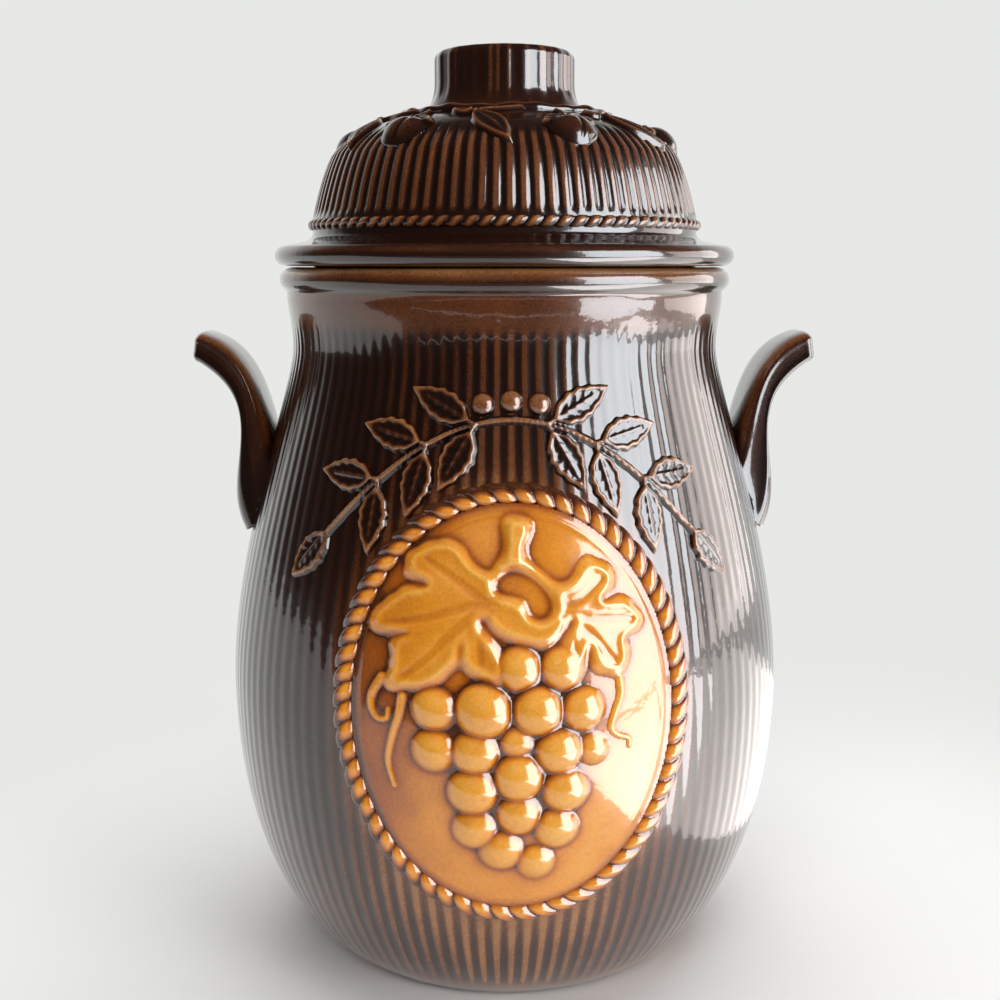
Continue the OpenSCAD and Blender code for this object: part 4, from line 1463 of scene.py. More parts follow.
@dataclass
class Garland:
    """Arched garland of plain leaves and berries on the shoulder.

    Angles are in degrees from the front, berry_pitch is in berry radii, and middle_z is the height at which
    the grid's cells are square.
    """

    form: JarForm
    crown_z: float = 187.0
    drop: float = 34.08
    half_angle: float = 40.0
    margin: float = 17.0
    low_z: float = 126.0
    high_z: float = 204.0
    middle_z: float = 176.0
    pairs: int = 3
    first_leaf: float = 9.0
    leaf_turn: float = 45.0
    leaf_l: float = 20.04
    leaf_w: float = 10.02
    leaf_t: float = 1.6
    berry_r: float = 3.6
    berry_pitch: float = 2.3
    stem_w: float = 2.6
    stem_t: float = 1.5
    step: float = 0.4
    outside: float = -3.0

    def __post_init__(self) -> None:
        """Lays the grid over the shoulder."""
        span = math.radians(self.half_angle + self.margin)
        self.turn_step = self.step / float(self.form.radius(self.middle_z))
        self.angle, self.z = np.meshgrid(np.arange(-span, span, self.turn_step),
                                         np.arange(self.low_z, self.high_z, self.step))
        self.degrees = np.degrees(self.angle)
        self.radius = self.form.radius(self.z)

    def height_at(self, angle: Array | float) -> Array:
        """Height of the stem at an angle in degrees."""
        return self.crown_z - self.drop * (np.asarray(angle) / self.half_angle) ** 2

    def across(self, angle: float) -> Array:
        """Distance across the wall from an angle in degrees."""
        return self.radius * np.sin(self.angle - math.radians(angle))

    def leaf_places(self) -> list[tuple[float, float, float]]:
        """Where the leaves stand.

        Returns:
            Foot angle, tilt against the stem and distance beside the stem of each leaf.
        """
        pitch = (self.half_angle - self.first_leaf) / self.pairs
        aside = self.stem_w / 2 + 0.2
        places = [(self.half_angle + 0.2, 0.0, 0.0), (-self.half_angle - 0.2, 180.0, 0.0)]
        for k in range(self.pairs):
            for side in (-1, 1):
                foot = self.first_leaf + pitch * k
                places.append((foot, side * self.leaf_turn, side * aside))
                places.append((-foot, 180 + side * self.leaf_turn, -side * aside))
        return places

    def stem(self) -> Array:
        """Height of the stem over the wall.

        Returns:
            The height at each point, below nought outside the stem.
        """
        stem_z = self.height_at(self.degrees)
        slope = np.gradient(stem_z, axis=1) / self.turn_step / self.radius
        off = np.abs(self.z - stem_z) / np.sqrt(1 + slope ** 2)
        past_end = np.radians(np.maximum(np.abs(self.degrees) - self.half_angle, 0)) * self.radius
        inside = self.stem_w / 2 + 0.1 - np.hypot(off, past_end)
        twist = 0.12 * np.sin(self.degrees * 5.2 + self.z * 0.9)
        return (self.stem_t + twist) * smooth(-0.1, 1.3, inside) + np.minimum(inside, 0) * 1.5

    def leaf(self, u: Array, w: Array) -> Array:
        """Height of one leaf with a scalloped edge, a raised rim, a midrib and side veins.

        Args:
            u: Distance along the leaf from its foot.
            w: Distance beside its midrib.

        Returns:
            The height at each point, below nought outside the leaf.
        """
        t = np.clip(u / self.leaf_l, 0, 1)
        half = self.leaf_w / 2 * np.sin(math.pi * t ** 0.8) ** 0.9 * (1 + 0.05 * np.cos(t * 34))
        past_end = -np.hypot(np.abs(w), np.maximum(-u, u - self.leaf_l))
        gap = np.where((u < 0) | (u > self.leaf_l), past_end, (half - np.abs(w)) * 0.85)
        gap = np.maximum(gap, 0.85 - np.hypot(w, np.maximum(np.maximum(-2.2 - u, u - 4), 0)))
        rise = 1.15 * smooth(-0.2, 0.9, gap) + 0.45 * np.exp(-((gap - 0.95) / 0.6) ** 2) * smooth(0, 0.6, gap)
        rib = 0.38 * np.exp(-(w / 0.7) ** 2) * smooth(self.leaf_l, self.leaf_l * 0.5, u)
        veins = np.abs(np.sin((u - 0.75 * np.abs(w)) * math.pi / 3.0)) ** 6 * smooth(0.8, 1.6, gap)
        return rise + (rib + 0.10 * veins) * smooth(0.0, 0.8, gap) + np.minimum(gap, 0) * 1.6

    def leaves(self) -> Array:
        """Height of all the leaves over the wall.

        Returns:
            The height at each point, below nought outside the leaves.
        """
        height = np.full(self.z.shape, self.outside)
        for angle, turn, aside in self.leaf_places():
            radius = float(self.form.radius(self.height_at(angle)))
            rise = float(self.height_at(angle + 1) - self.height_at(angle - 1))
            tilt = math.atan2(rise, math.radians(2) * radius)
            c, s = math.cos(tilt + math.radians(turn)), math.sin(tilt + math.radians(turn))
            px = self.across(angle) + math.sin(tilt) * aside
            pz = self.z - float(self.height_at(angle)) - math.cos(tilt) * aside
            u, w = px * c + pz * s, -px * s + pz * c
            near = ((u > -4) & (u < self.leaf_l + 4) & (np.abs(w) < self.leaf_w)
                    & (np.abs(self.degrees - angle) < 25))
            height[near] = np.maximum(height[near], self.leaf(u[near], w[near]))
        return np.minimum(height, self.leaf_t + 0.5)

    def berries(self) -> Array:
        """Height of the three berries over the wall.

        Returns:
            The height at each point, below nought outside the berries.
        """
        height = np.full(self.z.shape, self.outside)
        for k in (-1, 0, 1):
            angle = math.degrees(k * self.berry_pitch * self.berry_r / float(self.form.radius(self.crown_z)))
            middle = float(self.height_at(angle)) + self.stem_w / 2 + self.berry_r + 0.4
            d2 = self.across(angle) ** 2 + (self.z - middle) ** 2
            cap = np.sqrt(np.maximum(self.berry_r ** 2 - d2, 0)) - 1.0
            skirt = -1.0 - (np.sqrt(d2) - self.berry_r)
            height = np.maximum(height, np.where(d2 < self.berry_r ** 2, cap, skirt))
        return height

    def marks(self, height: Array) -> dict[str, Array]:
        """Thinness of the glaze, from how far a point stands above what is round it.

        Args:
            height: Height of the garland over the wall.

        Returns:
            The numbers for the glaze.
        """
        h = np.maximum(height, -0.4)
        return {"thin": np.clip(0.16 + 1.15 * (h - blur(h, 2)) + 0.20 * (h - blur(h, 6)), 0.0, 0.9)}

    def shells(self) -> dict[str, Surface]:
        """Closed shells of the stem, leaves and berries.

        Returns:
            The shells by the name of their solids.
        """
        heights = {"garland_stem": self.stem(), "garland_leaves": self.leaves(),
                   "garland_berries": self.berries()}
        return Relief(*self.form.point(self.angle, self.z), heights, 1.0, 1.4).shells(self.marks)


@dataclass
class LidForm:
    """Outline of the lid, the same as in its solids.

    Attributes:
        base_z: Height of the rim that the flange rests on.
        flange_r: Radius of the flange.
        top_z: Height of the dome's crown.
        roll: Radius of the flange's rolled edge.
        wall_r: Radius of the upright wall.
        rope_z: Height of the middle of the rope band.
        wall_z: Height at which the fluted side starts.
        shoulder: Radius and height at which the side turns into the dome.
        crown_r: Radius of the flat crown.
        thick: Thickness of the clay.
        skirt_r: Radius of the locating skirt.
        skirt_t: Its thickness.
        skirt_h: Its depth.
        cove_foot: Where the cove leaves the flange, as distance outside the wall and height.
        cove_bend: The same for its first bend.
        cove_drop: How far its second bend and its end lie below the rope band's middle.
        side_pull: How far in and up the side runs before it bends.
        shoulder_pull: How far out and down it runs from the shoulder before it bends.
        dome_pull: How far in, as a share of the run, and up the dome runs from the shoulder.
        crown_pull: How far out, as a share of the run, and down it runs from the crown.
        rows: Steps along the cove, the side and the dome.
    """

    base_z: float
    flange_r: float
    top_z: float
    roll: float = 3.3
    wall_r: float = 63.5
    rope_z: float = 243.7
    wall_z: float = 245.6
    shoulder: Point = (57.0, 265.6)
    crown_r: float = 27.5
    thick: float = 5.5
    skirt_r: float = 63.0
    skirt_t: float = 4.5
    skirt_h: float = 12.0
    cove_foot: Point = (4.0, 238.4)
    cove_bend: Point = (1.0, 239.0)
    cove_drop: Point = (4.0, 1.9)
    side_pull: Point = (2.21, 9.1)
    shoulder_pull: Point = (2.6, 5.0)
    dome_pull: Point = (0.153, 6.5)
    crown_pull: Point = (0.475, 2.52)
    rows: tuple[int, int, int] = (8, 20, 30)

    @classmethod
    def from_frame(cls) -> "LidForm":
        """The outline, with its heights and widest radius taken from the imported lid."""
        low, high = node_box("lid_shell")
        return cls(base_z=float(low[2]) + cls.skirt_h, flange_r=float(high[0]), top_z=float(high[2]))

    def __post_init__(self) -> None:
        """Works out the outline's curves."""
        r, z = self.shoulder
        run = r - self.crown_r
        wall = self.wall_r
        cove = [(wall + self.cove_foot[0], self.cove_foot[1]), (wall + self.cove_bend[0], self.cove_bend[1]),
                (wall, self.rope_z - self.cove_drop[0]), (wall, self.rope_z - self.cove_drop[1])]
        side = [(wall, self.wall_z), (wall - self.side_pull[0], self.wall_z + self.side_pull[1]),
                (r + self.shoulder_pull[0], z - self.shoulder_pull[1]), (r, z)]
        dome = [(r, z), (r - self.dome_pull[0] * run, z + self.dome_pull[1]),
                (self.crown_r + self.crown_pull[0] * run, self.top_z - self.crown_pull[1]),
                (self.crown_r, self.top_z)]
        self.cove, self.side, self.dome = (cubic(c, n) for c, n in zip((cove, side, dome), self.rows))
        self.run = np.vstack([self.side, self.dome[1:]])
        self.reach = np.r_[0, np.cumsum(np.hypot(*np.diff(self.run, axis=0).T))]
        self.outward = -left_normals(self.run)

    def along(self, reach: Array | float, values: Array) -> Array:
        """Value at a distance along the outline, from its value at each row."""
        return np.interp(reach, self.reach, values)

    def point(self, angle: Array, reach: Array) -> tuple[Array, Array]:
        """Points on the lid's wall and dome, and their outward directions.

        Args:
            angle: Angle from the front, in radians.
            reach: Distance along the outline from the rope band.

        Returns:
            Points and unit normals.
        """
        r, z = self.along(reach, self.run[:, 0]), self.along(reach, self.run[:, 1])
        nr, nz = self.along(reach, self.outward[:, 0]), self.along(reach, self.outward[:, 1])
        points = np.stack([r * np.sin(angle), -r * np.cos(angle), z], axis=-1)
        normal = np.stack([nr * np.sin(angle), -nr * np.cos(angle), nz], axis=-1)
        return points, normal / np.linalg.norm(normal, axis=-1)[..., None]

    def dome_reach(self, share: float) -> float:
        """Distance along the outline at a share of the way from shoulder to crown."""
        row = self.rows[1] + share * self.rows[2]
        return float(np.interp(row, np.arange(len(self.reach)), self.reach))


@dataclass
class LidShell:
    """Flange, fluted dome and locating skirt of the lid.

    Here flute_run is the height over which a flute starts, and by which the tops rise and fall.
    """

    form: LidForm
    flutes: int = 94
    flute_columns: int = 8
    flute_depth: float = 0.5
    flute_low: float = 246.2
    flute_top: float = 272.0
    flute_run: float = 1.6
    lip_width: float = 1.3
    plain: float = 0.14

    def inside(self) -> Array:
        """Outline of the lid's inside.

        Returns:
            Its rows, from the axis down to the skirt.
        """
        f = self.form
        side = (f.side + f.thick * left_normals(f.side))[::-2]
        dome = f.dome + f.thick * left_normals(f.dome)
        dome = dome[dome[:, 0] < f.shoulder[0] - f.thick][::-3]
        inner = f.skirt_r - f.skirt_t
        return np.vstack([[[0, dome[0, 1]]], dome, side, [[inner, f.base_z + 4], [inner, f.base_z - 6]]])

    def lower(self) -> Array:
        """Outline of the skirt, the flange and the cove.

        Returns:
            Its rows, from the skirt up.
        """
        f = self.form
        r, foot = f.skirt_r, f.base_z - f.skirt_h
        inner = r - f.skirt_t
        skirt = [[inner, foot], [inner + 0.8, foot], [r - 1, foot], [r - 0.2, foot + 0.4], [r, foot + 1.2],
                 [r, f.base_z - 0.6], [r + 0.4, f.base_z]]
        edge = arc((f.flange_r - f.roll, f.base_z + f.roll), f.roll, -90, 90, 14)
        return np.vstack([skirt, edge, f.cove])

    def upper(self) -> Array:
        """Outline of the fluted side, the dome and the crown.

        Returns:
            Its rows, from the rope band up to the axis.
        """
        f = self.form
        return np.vstack([[[f.wall_r, f.rope_z]], f.side, f.dome[1:], [[20, f.top_z], [0, f.top_z]]])

    def surface(self) -> Surface:
        """The lid's shell.

        Returns:
            The closed surface.
        """
        f = self.form
        parts = [self.inside(), self.lower(), self.upper()]
        line = np.vstack(parts)
        fluted = np.repeat([False, False, True], [len(p) for p in parts])[:, None]
        columns = self.flute_columns * self.flutes
        angle = 2 * math.pi * np.arange(columns) / columns
        r, z = line[:, 0, None], line[:, 1, None]
        wave = smooth(0.0, 0.85, 0.5 + 0.5 * np.cos(self.flutes * angle))[None, :]
        top = self.flute_top - self.flute_run * wave
        weight = smooth(self.flute_low, self.flute_low + self.flute_run, z) * smooth(top + 1.2, top - 2.2, z)
        weight = np.where(fluted, weight, 0.0)
        sink = self.flute_depth * weight * (1 - wave)
        ribs = weight * (0.03 + 0.62 * smooth(0.3, 1.0, wave)) + (1 - weight) * self.plain
        lip_z = f.base_z + f.roll + 1.6
        lip = np.exp(-((z - lip_z) / self.lip_width) ** 2) * (r > f.flange_r - 2.5)
        thin = np.where(fluted, ribs, 0.16) + 0.25 * lip
        return spun(line, columns, sink, {"thin": np.clip(thin, 0, 1) + 0 * angle[None, :]})


@dataclass
class LidRope:
    """Small twisted band round the lid's wall, with its half_width as a share of its half_height."""

    form: LidForm
    beads: int = 88
    bead_rows: int = 12
    points: int = 15
    half_width: float = 1.1
    half_height: float = 1.75
    lean: float = 0.30
    rise: float = 1.5
    sunk: float = 0.9

    def surface(self) -> Surface:
        """The band.

        Returns:
            The closed surface.
        """
        rows = self.beads * self.bead_rows
        angle, v = np.meshgrid(2 * math.pi * np.arange(rows) / rows,
                               np.linspace(-self.half_width, self.half_width, self.points), indexing="ij")
        twist = np.arange(rows)[:, None] / rows * self.beads - self.lean * v
        bead = np.abs(np.sin(math.pi * twist)) ** 0.7
        wide = np.abs(v) / (0.86 + 0.14 * bead)
        swell = self.rise * np.maximum(1 - wide ** 2, 0) ** 0.6 * (0.35 + 0.65 * bead)
        lift = np.where(wide < 1, swell, -0.3)
        z = self.form.rope_z + v * self.half_height
        front, back = (np.stack([r * np.sin(angle), -r * np.cos(angle), z], axis=-1)
                       for r in (self.form.wall_r + lift, self.form.wall_r - self.sunk))
        rings = np.concatenate([front, back[:, -1:], back[:, :1]], axis=1)
        thin = 0.05 + 0.85 * bead ** 2 * smooth(0, 0.8, lift)
        thin = np.concatenate([thin, thin[:, -1:], thin[:, :1]], axis=1)
        return tube(rings[:, ::-1], True, {"thin": np.clip(thin, 0, 1)[:, ::-1]})


@dataclass
class Knob:
    """Knob with soft upright flats, which stands on the crown at base_z."""

    base_z: float
    foot_r: float
    top_z: float
    knob_r: float = 23.0
    edge_r: float = 3.0
    flats: int = 22
    flat_depth: float = 0.36
    columns: int = 264

    @classmethod
    def from_frame(cls, form: LidForm) -> "Knob":
        """The knob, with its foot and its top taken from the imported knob.

        Args:
            form: The lid's outline.

        Returns:
            The knob.
        """
        _, high = node_box("lid_knob")
        return cls(base_z=form.top_z, foot_r=float(high[0]), top_z=float(high[2]))

    def outline(self) -> Array:
        """Outline of the knob.

        Returns:
            Its rows, from the axis under the foot to the axis on the top.
        """
        z, r, top = self.base_z, self.knob_r, self.top_z
        flare = cubic([(self.foot_r, z), (r + 1, z + 3), (r, z + 6), (r, z + 10)], 14)
        shaft = np.c_[np.full(6, r), np.linspace(z + 11.2, top - 4.2, 6)]
        edge = arc((r - self.edge_r, top - 3.6), self.edge_r, 0, 78, 9)
        return np.vstack([[[0, z - 0.4], [self.foot_r - 1.5, z - 0.4]], flare, shaft, edge,
                          [[r - 4.5, top - 0.36], [r / 2, top - 0.1], [0, top]]])

    def surface(self) -> Surface:
        """The knob.

        Returns:
            The closed surface.
        """
        line = self.outline()
        base, top = self.base_z, self.top_z
        z = line[:, 1, None]
        angle = 2 * math.pi * np.arange(self.columns) / self.columns
        sway = 0.9 * np.sin(3 * angle) + 0.5 * np.sin(5 * angle + 1)
        flat = smooth(0.05, 0.95, 0.5 + 0.5 * np.cos(self.flats * angle + sway))[None, :]
        span = smooth(base + 1.5, base + 7, z) * smooth(top, top - 3.5, z)
        sink = self.flat_depth * span * (1 - flat)
        streak = np.sin(31 * angle + 1.7 * np.sin(5 * angle))
        streak *= np.sin(13 * angle + 2.3 * np.sin(4 * angle + 2))
        light = 0.40 * smooth(base + 0.5, base + 9, z) * smooth(-0.2, 0.9, streak)[None, :]
        thin = 0.20 + light + 0.10 * smooth(base + 6, base, z)
        return spun(line, self.columns, sink, {"thin": np.clip(thin, 0, 1)})


@dataclass(frozen=True)
class Blade:
    """Pointed leaf of the lid's ring, with its angle in degrees from the right."""

    foot: Point
    angle: float
    length: float
    width: float

    def height(self, across: Array, up: Array) -> Array:
        """Height of the leaf, with a midrib and raised edges.

        Args:
            across: Distance to the right of the patch's middle.
            up: Distance above it.

        Returns:
            The height, below nought outside the leaf.
        """
        a = math.radians(self.angle)
        x, y = across - self.foot[0], up - self.foot[1]
        u, w = x * math.cos(a) + y * math.sin(a), -x * math.sin(a) + y * math.cos(a)
        half = self.width / 2 * np.sin(math.pi * np.clip(u / self.length, 0, 1) ** 0.8) ** 0.9
        past_end = -np.hypot(w, np.maximum(-u, u - self.length))
        gap = np.where((u < 0) | (u > self.length), past_end, (half - np.abs(w)) * 0.85)
        rise = smooth(-0.3, 1.0, gap) + 0.45 * np.exp(-((gap - 0.9) / 0.6) ** 2) * smooth(0, 0.5, gap)
        rib = 0.55 * np.exp(-(w / 0.7) ** 2) * smooth(self.length, self.length * 0.5, u) * smooth(0, 0.6, gap)
        return rise + rib + np.minimum(gap, 0) * 1.5


@dataclass
class LidOrnament:
    """Fruits, leaves and twig on the dome.

    Their places, such as fruit_at, are shares of the way from shoulder to crown. The first fruit stands at
    turn, in degrees from the front. Points of stalks and blades are across and up from a patch's middle.
    """

    form: LidForm
    count: int = 6
    turn: float = -22.0
    fruit_r: float = 9.0
    fruit_h: float = 3.5
    fruit_at: float = 0.3
    leaf_at: float = 0.62
    twig_at: float = 0.86
    twig_r: float = 1.7
    twig_rows: tuple[int, int] = (360, 16)
    stalk_w: float = 1.2
    leaflets: tuple[Blade, ...] = (Blade((0.0, 7.0), -152.0, 11.0, 6.0), Blade((0.0, 7.0), -22.0, 10.0, 5.5))
    leaves: tuple[Blade, ...] = (Blade((-4.5, 6.0), -55.0, 23.0, 9.5), Blade((-4.5, 6.0), 168.0, 8.0, 5.0))
    fruit_stalk: Outline = ((0, 7), (0.8, 10), (0.2, 14))
    leaf_stalk: Outline = ((-4.5, 6.0), (-1.5, 8.6), (4.0, 10.2), (9.0, 12.5))
    step: float = 0.38

    def patch(self, half_angle: float, low: float, high: float) -> tuple[Array, Array, Array, Array]:
        """Grid on the dome round the front.

        Args:
            half_angle: How far it spans to each side, in degrees.
            low: First distance along the outline.
            high: Last distance along the outline.

        Returns:
            Points, normals, and the distances across and up from the patch's own middle.
        """
        mid = (low + high) / 2
        radii = self.form.run[:, 0]
        a = math.radians(half_angle)
        turn_step = self.step / float(self.form.along(mid, radii))
        angle, reach = np.meshgrid(np.arange(-a, a, turn_step), np.arange(low, high, self.step))
        return *self.form.point(angle, reach), self.form.along(reach, radii) * angle, reach - mid

    def marks(self, height: Array) -> dict[str, Array]:
        """Thinness of the glaze over the ornament.

        Args:
            height: Height of the ornament over the dome.

        Returns:
            The numbers for the glaze.
        """
        h = np.maximum(height, -0.3)
        return {"thin": np.clip(0.12 + 0.9 * (h - blur(h, 2)) + 0.10 * (h - blur(h, 7)), 0, 0.9)}

    def stalk(self, across: Array, up: Array, points: Outline) -> Array:
        """Height of a round stalk.

        Args:
            across: Distance to the right of the patch's middle.
            up: Distance above it.
            points: The stalk's line.

        Returns:
            The height, below nought outside the stalk.
        """
        w = self.stalk_w
        distance, _ = segment_distance(across, up, curved(points), False)
        return 1.3 * smooth(w + 0.3, w - 1.1, distance) - 1.2 * smooth(w, w + 1.5, distance)

    def merged(self, base: Array, normal: Array, heights: list[Array], depth: float) -> Surface:
        """One shell over several heights of a patch.

        Args:
            base: Grid of points on the patch.
            normal: Outward direction at each point.
            heights: The heights.
            depth: How far the shell reaches below the patch at its edge.

        Returns:
            The closed surface.
        """
        top = {"piece": np.max(heights, axis=0)}
        return Relief(base, normal, top, depth, 1.2).shells(self.marks)["piece"]

    def fruit(self) -> Surface:
        """One plump fruit with its stalk and two leaflets, at the front.

        Returns:
            The closed surface.
        """
        low = self.form.dome_reach(self.fruit_at) - 12
        base, normal, wide, up = self.patch(18, low, low + 29)
        up = up + 2.5
        ball = self.fruit_r
        sunk = ball - self.fruit_h
        d = np.hypot(wide / 1.08, up)
        height = np.where(d < ball, np.sqrt(np.maximum(ball ** 2 - d ** 2, 0)) - sunk, -sunk)
        height = np.maximum(height, -1.2) + 0.45 * np.exp(-((height + 0.2) / 0.6) ** 2) * (d < 9)
        furrow = 0.45 * np.exp(-((wide - 1.5 + 0.03 * up ** 2) / 0.7) ** 2) * smooth(0.5, 2.0, height)
        height = np.where(d < 8.6, height - furrow, height - 0.6)
        leaflets = [blade.height(wide, up) for blade in self.leaflets]
        return self.merged(base, normal, [height, *leaflets, self.stalk(wide, up, self.fruit_stalk)], 0.8)

    def leaf(self) -> Surface:
        """One long pointed leaf, a small one and their stalk, at the front.

        Returns:
            The closed surface.
        """
        low = self.form.dome_reach(self.leaf_at) - 20
        base, normal, wide, up = self.patch(22, low, low + 30)
        blades = [blade.height(wide, up) for blade in self.leaves]
        return self.merged(base, normal, [*blades, self.stalk(wide, up, self.leaf_stalk)], 0.9)

    def twig(self) -> Surface:
        """Knotty twig ring round the foot of the knob.

        Returns:
            The closed surface.
        """
        rows, points = self.twig_rows
        reach = self.form.dome_reach(self.twig_at)
        angle = 2 * math.pi * np.arange(rows) / rows
        centre, normal = self.form.point(angle, reach + 0.9 * np.sin(3 * angle + 0.6))
        side = np.cross(normal, np.stack([np.cos(angle), np.sin(angle), 0 * angle], axis=-1))
        turn = np.radians(np.linspace(0, 360, points, endpoint=False))
        c, s = np.cos(turn)[None, :, None], np.sin(turn)[None, :, None]
        thick = self.twig_r + 0.30 * np.sin(9 * angle) + 0.22 * np.sin(23 * angle + 1)
        rings = centre[:, None] + thick[:, None, None] * (c * normal[:, None] + s * side[:, None])
        thin = 0.12 + 0.45 * smooth(0.6, 1.0, np.cos(turn))[None, :] + 0 * thick[:, None]
        return tube(rings[:, ::-1], True, {"thin": thin[:, ::-1]})

    def ring(self, piece: Surface, offset: float) -> Surface:
        """Copies of a piece all the way round.

        Args:
            piece: The piece at the front.
            offset: Where the first copy stands, as a share of the pitch.

        Returns:
            All the copies together.
        """
        copies = [piece.turned(-(self.turn + 360 * (i + offset) / self.count)) for i in range(self.count)]
        whole = copies[0]
        for one in copies[1:]:
            whole = whole.join(one)
        return whole


class Role(Enum):
    """What a lamp is for."""

    GLARE = "gloss alone"
    FILL = "diffuse light alone"


@dataclass(frozen=True)
class Lamp:
    """Rectangular light that the camera doesn't see, in metres, with its glow as radiance."""

    name: str
    role: Role
    place: Place
    aim: Place
    size: Point
    glow: float
    tint: Colour = (1.0, 1.0, 1.0)

    def hang(self) -> None:
        """Adds the light to the scene."""
        data = bpy.data.lights.new(self.name, "AREA")
        data.shape = "RECTANGLE"
        data.size, data.size_y = self.size
        data.energy = self.glow * math.pi * self.size[0] * self.size[1]
        data.color = self.tint
        made = bpy.data.objects.new(self.name, data)
        made.location = self.place
        made.rotation_euler = (Vector(self.place) - Vector(self.aim)).to_track_quat("Z", "Y").to_euler()
        made.visible_camera = False
        made.visible_diffuse = self.role is Role.FILL
        made.visible_glossy = self.role is Role.GLARE
        bpy.context.scene.collection.objects.link(made)


# The lamps' places, in metres: a window at the right, the table's bright patches and soft fills.
JAR_MIDDLE = (0.0, 0.0, 0.12)
LAMPS = (
    Lamp("window", Role.GLARE, (1.00, -0.66, 0.45), (0.0, 0.0, 0.45), (0.92, 1.20), 8.0, (0.92, 0.96, 1.0)),
    Lamp("curtain", Role.GLARE, (1.16, 0.31, 0.34), (0.0, 0.0, 0.17), (0.87, 0.7), 3.2, (1.0, 0.90, 0.86)),
    Lamp("table_glow", Role.GLARE, (0.485, -0.235, 0.004), (0.485, -0.235, 1.0), (0.73, 0.25), 7.5,
         (1.0, 0.96, 0.95)),
    Lamp("table_side", Role.GLARE, (0.53, 0.07, 0.004), (0.53, 0.07, 1.0), (0.80, 0.36), 1.9,
         (1.0, 0.92, 0.88)),
    Lamp("table_edge", Role.GLARE, (-0.15, -0.72, 0.004), (-0.15, -0.72, 1.0), (1.3, 0.05), 1.0),
    Lamp("front_fill", Role.FILL, (-0.3, -1.6, 1.1), JAR_MIDDLE, (1.2, 1.0), 3.9),
    Lamp("side_fill", Role.FILL, (1.0, -0.9, 0.45), JAR_MIDDLE, (0.6, 0.6), 7.0),
    Lamp("overhead", Role.FILL, (0.1, 0.2, 1.5), JAR_MIDDLE, (1.6, 1.6), 2.7),
)


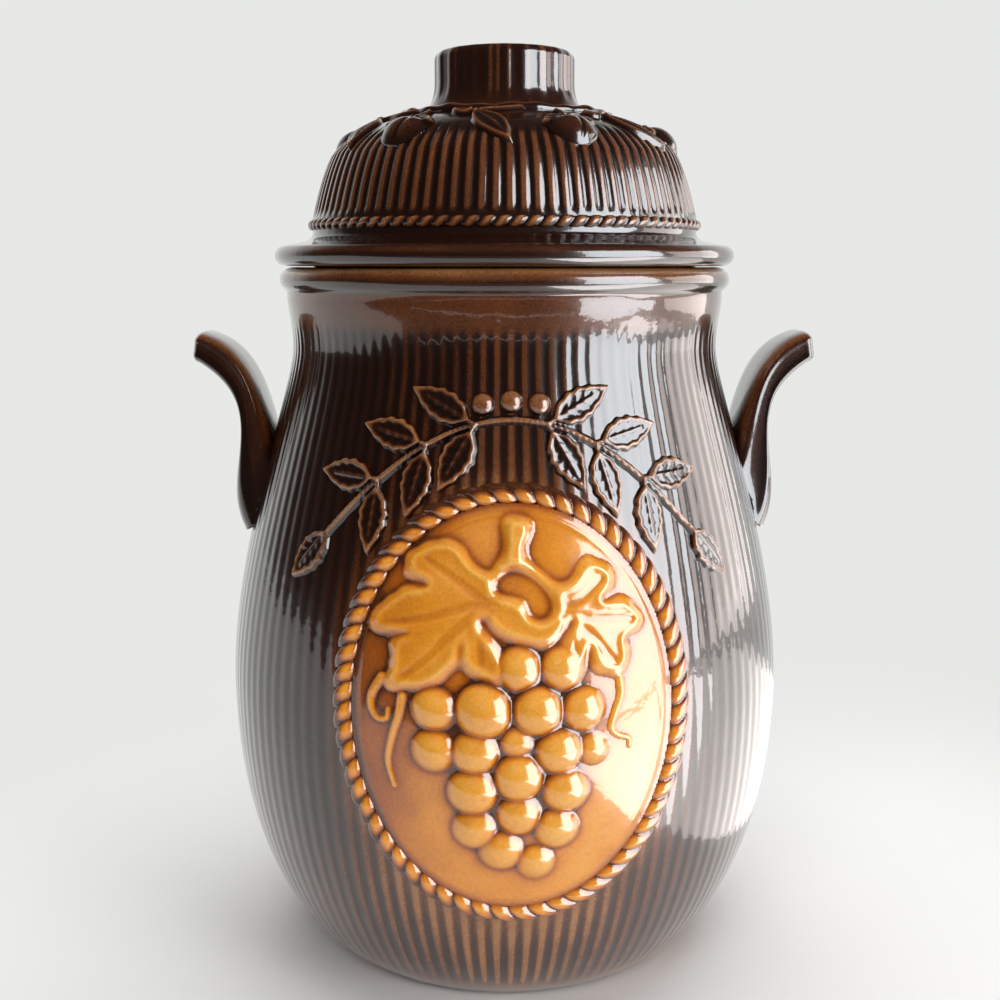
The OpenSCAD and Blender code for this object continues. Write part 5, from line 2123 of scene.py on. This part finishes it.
@dataclass
class Studio:
    """Camera, pale floor, world and lamps.

    The camera's distance and height are in millimetres, its angles in degrees, and the floor's sizes in
    metres. The fades are the limits between which a smooth change runs.
    """

    lens: float = 50.0
    sensor: float = 36.0
    distance: float = 472.3
    height: float = 231.9
    pitch: float = 9.723
    turn: float = 1.5
    aside: float = -0.0045
    haze: Colour = (0.80, 0.81, 0.79)
    dim: Colour = (0.030, 0.026, 0.024)
    front_fade: Point = (0.75, 0.32)
    high_fade: Point = (0.30, 0.75)
    floor_colour: Colour = (0.88, 0.88, 0.87)
    floor_rough: float = 0.6
    floor_fade: Point = (0.14, 0.42)
    floor_half: float = 4.0
    floor_depth: Point = (-0.42, 6.0)

    def camera(self) -> None:
        """Puts the camera where the photograph was taken."""
        data = bpy.data.cameras.new("camera")
        data.lens = self.lens
        data.sensor_width = self.sensor
        data.shift_x = self.aside
        data.clip_start = 0.01
        made = bpy.data.objects.new("camera", data)
        a = math.radians(self.turn)
        away = self.distance * MM
        made.location = (-away * math.sin(a), -away * math.cos(a), self.height * MM)
        made.rotation_euler = (math.radians(90 - self.pitch), 0.0, -a)
        bpy.context.scene.collection.objects.link(made)
        bpy.context.scene.camera = made

    def floor(self) -> None:
        """Lays the pale floor, which runs softly into the background."""
        half, (front, back) = self.floor_half, self.floor_depth
        mesh = bpy.data.meshes.new("floor")
        corners = [(-half, front, 0), (half, front, 0), (half, back, 0), (-half, back, 0)]
        mesh.from_pydata(corners, [], [(0, 1, 2, 3)])
        made, n = new_material("pale_floor")
        away = n.add("ShaderNodeVectorMath", {"operation": "LENGTH"}, i0=n.place()).outputs["Value"]
        far = n.step(away, *self.floor_fade)
        shader = n.add("ShaderNodeBsdfPrincipled", None, Base_Color=(*self.floor_colour, 1.0),
                       Roughness=self.floor_rough)
        haze = n.add("ShaderNodeEmission", None, Color=(*self.haze, 1.0), Strength=1.0)
        blend = n.add("ShaderNodeMixShader", None, i0=far, i1=shader.outputs[0], i2=haze.outputs[0])
        n.add("ShaderNodeOutputMaterial", None, Surface=blend.outputs[0])
        mesh.materials.append(made)
        piece = bpy.data.objects.new("floor", mesh)
        bpy.context.scene.collection.objects.link(piece)

    def world(self) -> None:
        """Pale surroundings that are dim in front of the jar, as a room behind a photographer is."""
        made = bpy.data.worlds.new("pale_room")
        made.use_nodes = True
        made.node_tree.nodes.clear()
        n = NodeTree(made.node_tree)
        way = n.add("ShaderNodeTexCoord").outputs["Generated"]
        part = n.add("ShaderNodeSeparateXYZ", None, Vector=way)
        front = n.step(part.outputs["Y"], *self.front_fade)
        high = n.step(part.outputs["Z"], *self.high_fade)
        colour = n.mix(n.math("MAXIMUM", front, high), self.haze, self.dim)
        seen = n.add("ShaderNodeLightPath").outputs["Is Camera Ray"]
        back = n.add("ShaderNodeBackground", None, Color=n.mix(seen, colour, self.haze), Strength=1.0)
        n.add("ShaderNodeOutputWorld", None, Surface=back.outputs[0])
        bpy.context.scene.world = made

    def build(self) -> None:
        """Sets up everything round the jar."""
        self.camera()
        self.floor()
        self.world()
        for lamp in LAMPS:
            lamp.hang()
        bpy.context.scene.view_settings.view_transform = "Standard"


def fire_pot(kiln: Kiln) -> None:
    """Makes the pot's pieces.

    Args:
        kiln: Makes each piece.
    """
    form = JarForm.from_frame()
    oval = Oval(form)
    pot = kiln.fire("pot_wall", PotWall(form, oval).surface(), Body.POT, Slot.BROWN, "pot_body")
    kiln.bare_foot(pot)
    lug = Handles(form).surface()
    kiln.fire("right_lug", lug, Body.POT, Slot.BROWN, "right_handle")
    kiln.fire("left_lug", lug.mirrored(), Body.POT, Slot.BROWN, "left_handle")
    medallion = Medallion(oval)
    kiln.fire("amber_field", medallion.field(), Body.POT, Slot.AMBER, "medallion_field")
    kiln.fire("rope_border", Rope(oval).surface(), Body.POT, Slot.AMBER, "medallion_rope")
    for node, shell in medallion.shells().items():
        kiln.fire(node + "_relief", shell, Body.POT, Slot.AMBER, node)
    for node, shell in Garland(form).shells().items():
        kiln.fire(node + "_relief", shell, Body.POT, Slot.BROWN, node)


def fire_lid(kiln: Kiln) -> None:
    """Makes the lid's pieces.

    Args:
        kiln: Makes each piece.
    """
    form = LidForm.from_frame()
    ornament = LidOrnament(form)
    for name, surface, node in (
            ("lid_dome", LidShell(form).surface(), "lid_shell"),
            ("lid_rope", LidRope(form).surface(), "lid_rope_band"),
            ("lid_grip", Knob.from_frame(form).surface(), "lid_knob"),
            ("lid_fruit_ring", ornament.ring(ornament.fruit(), 0.0), "lid_fruits"),
            ("lid_leaf_ring", ornament.ring(ornament.leaf(), 0.5), "lid_leaves"),
            ("lid_twig_ring", ornament.twig(), "lid_twig")):
        kiln.fire(name, surface, Body.LID, Slot.BROWN, node)


def main() -> None:
    """Builds the jar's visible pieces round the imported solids."""
    logging.basicConfig(level=logging.INFO, format="%(name)s: %(message)s")
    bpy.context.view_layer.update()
    Studio().build()
    glazes = {Slot.BROWN: BrownGlaze().material(), Slot.AMBER: AmberGlaze().material()}
    kiln = Kiln(glazes, BareClay().material())
    fire_pot(kiln)
    fire_lid(kiln)


if __name__ == "__main__":
    main()
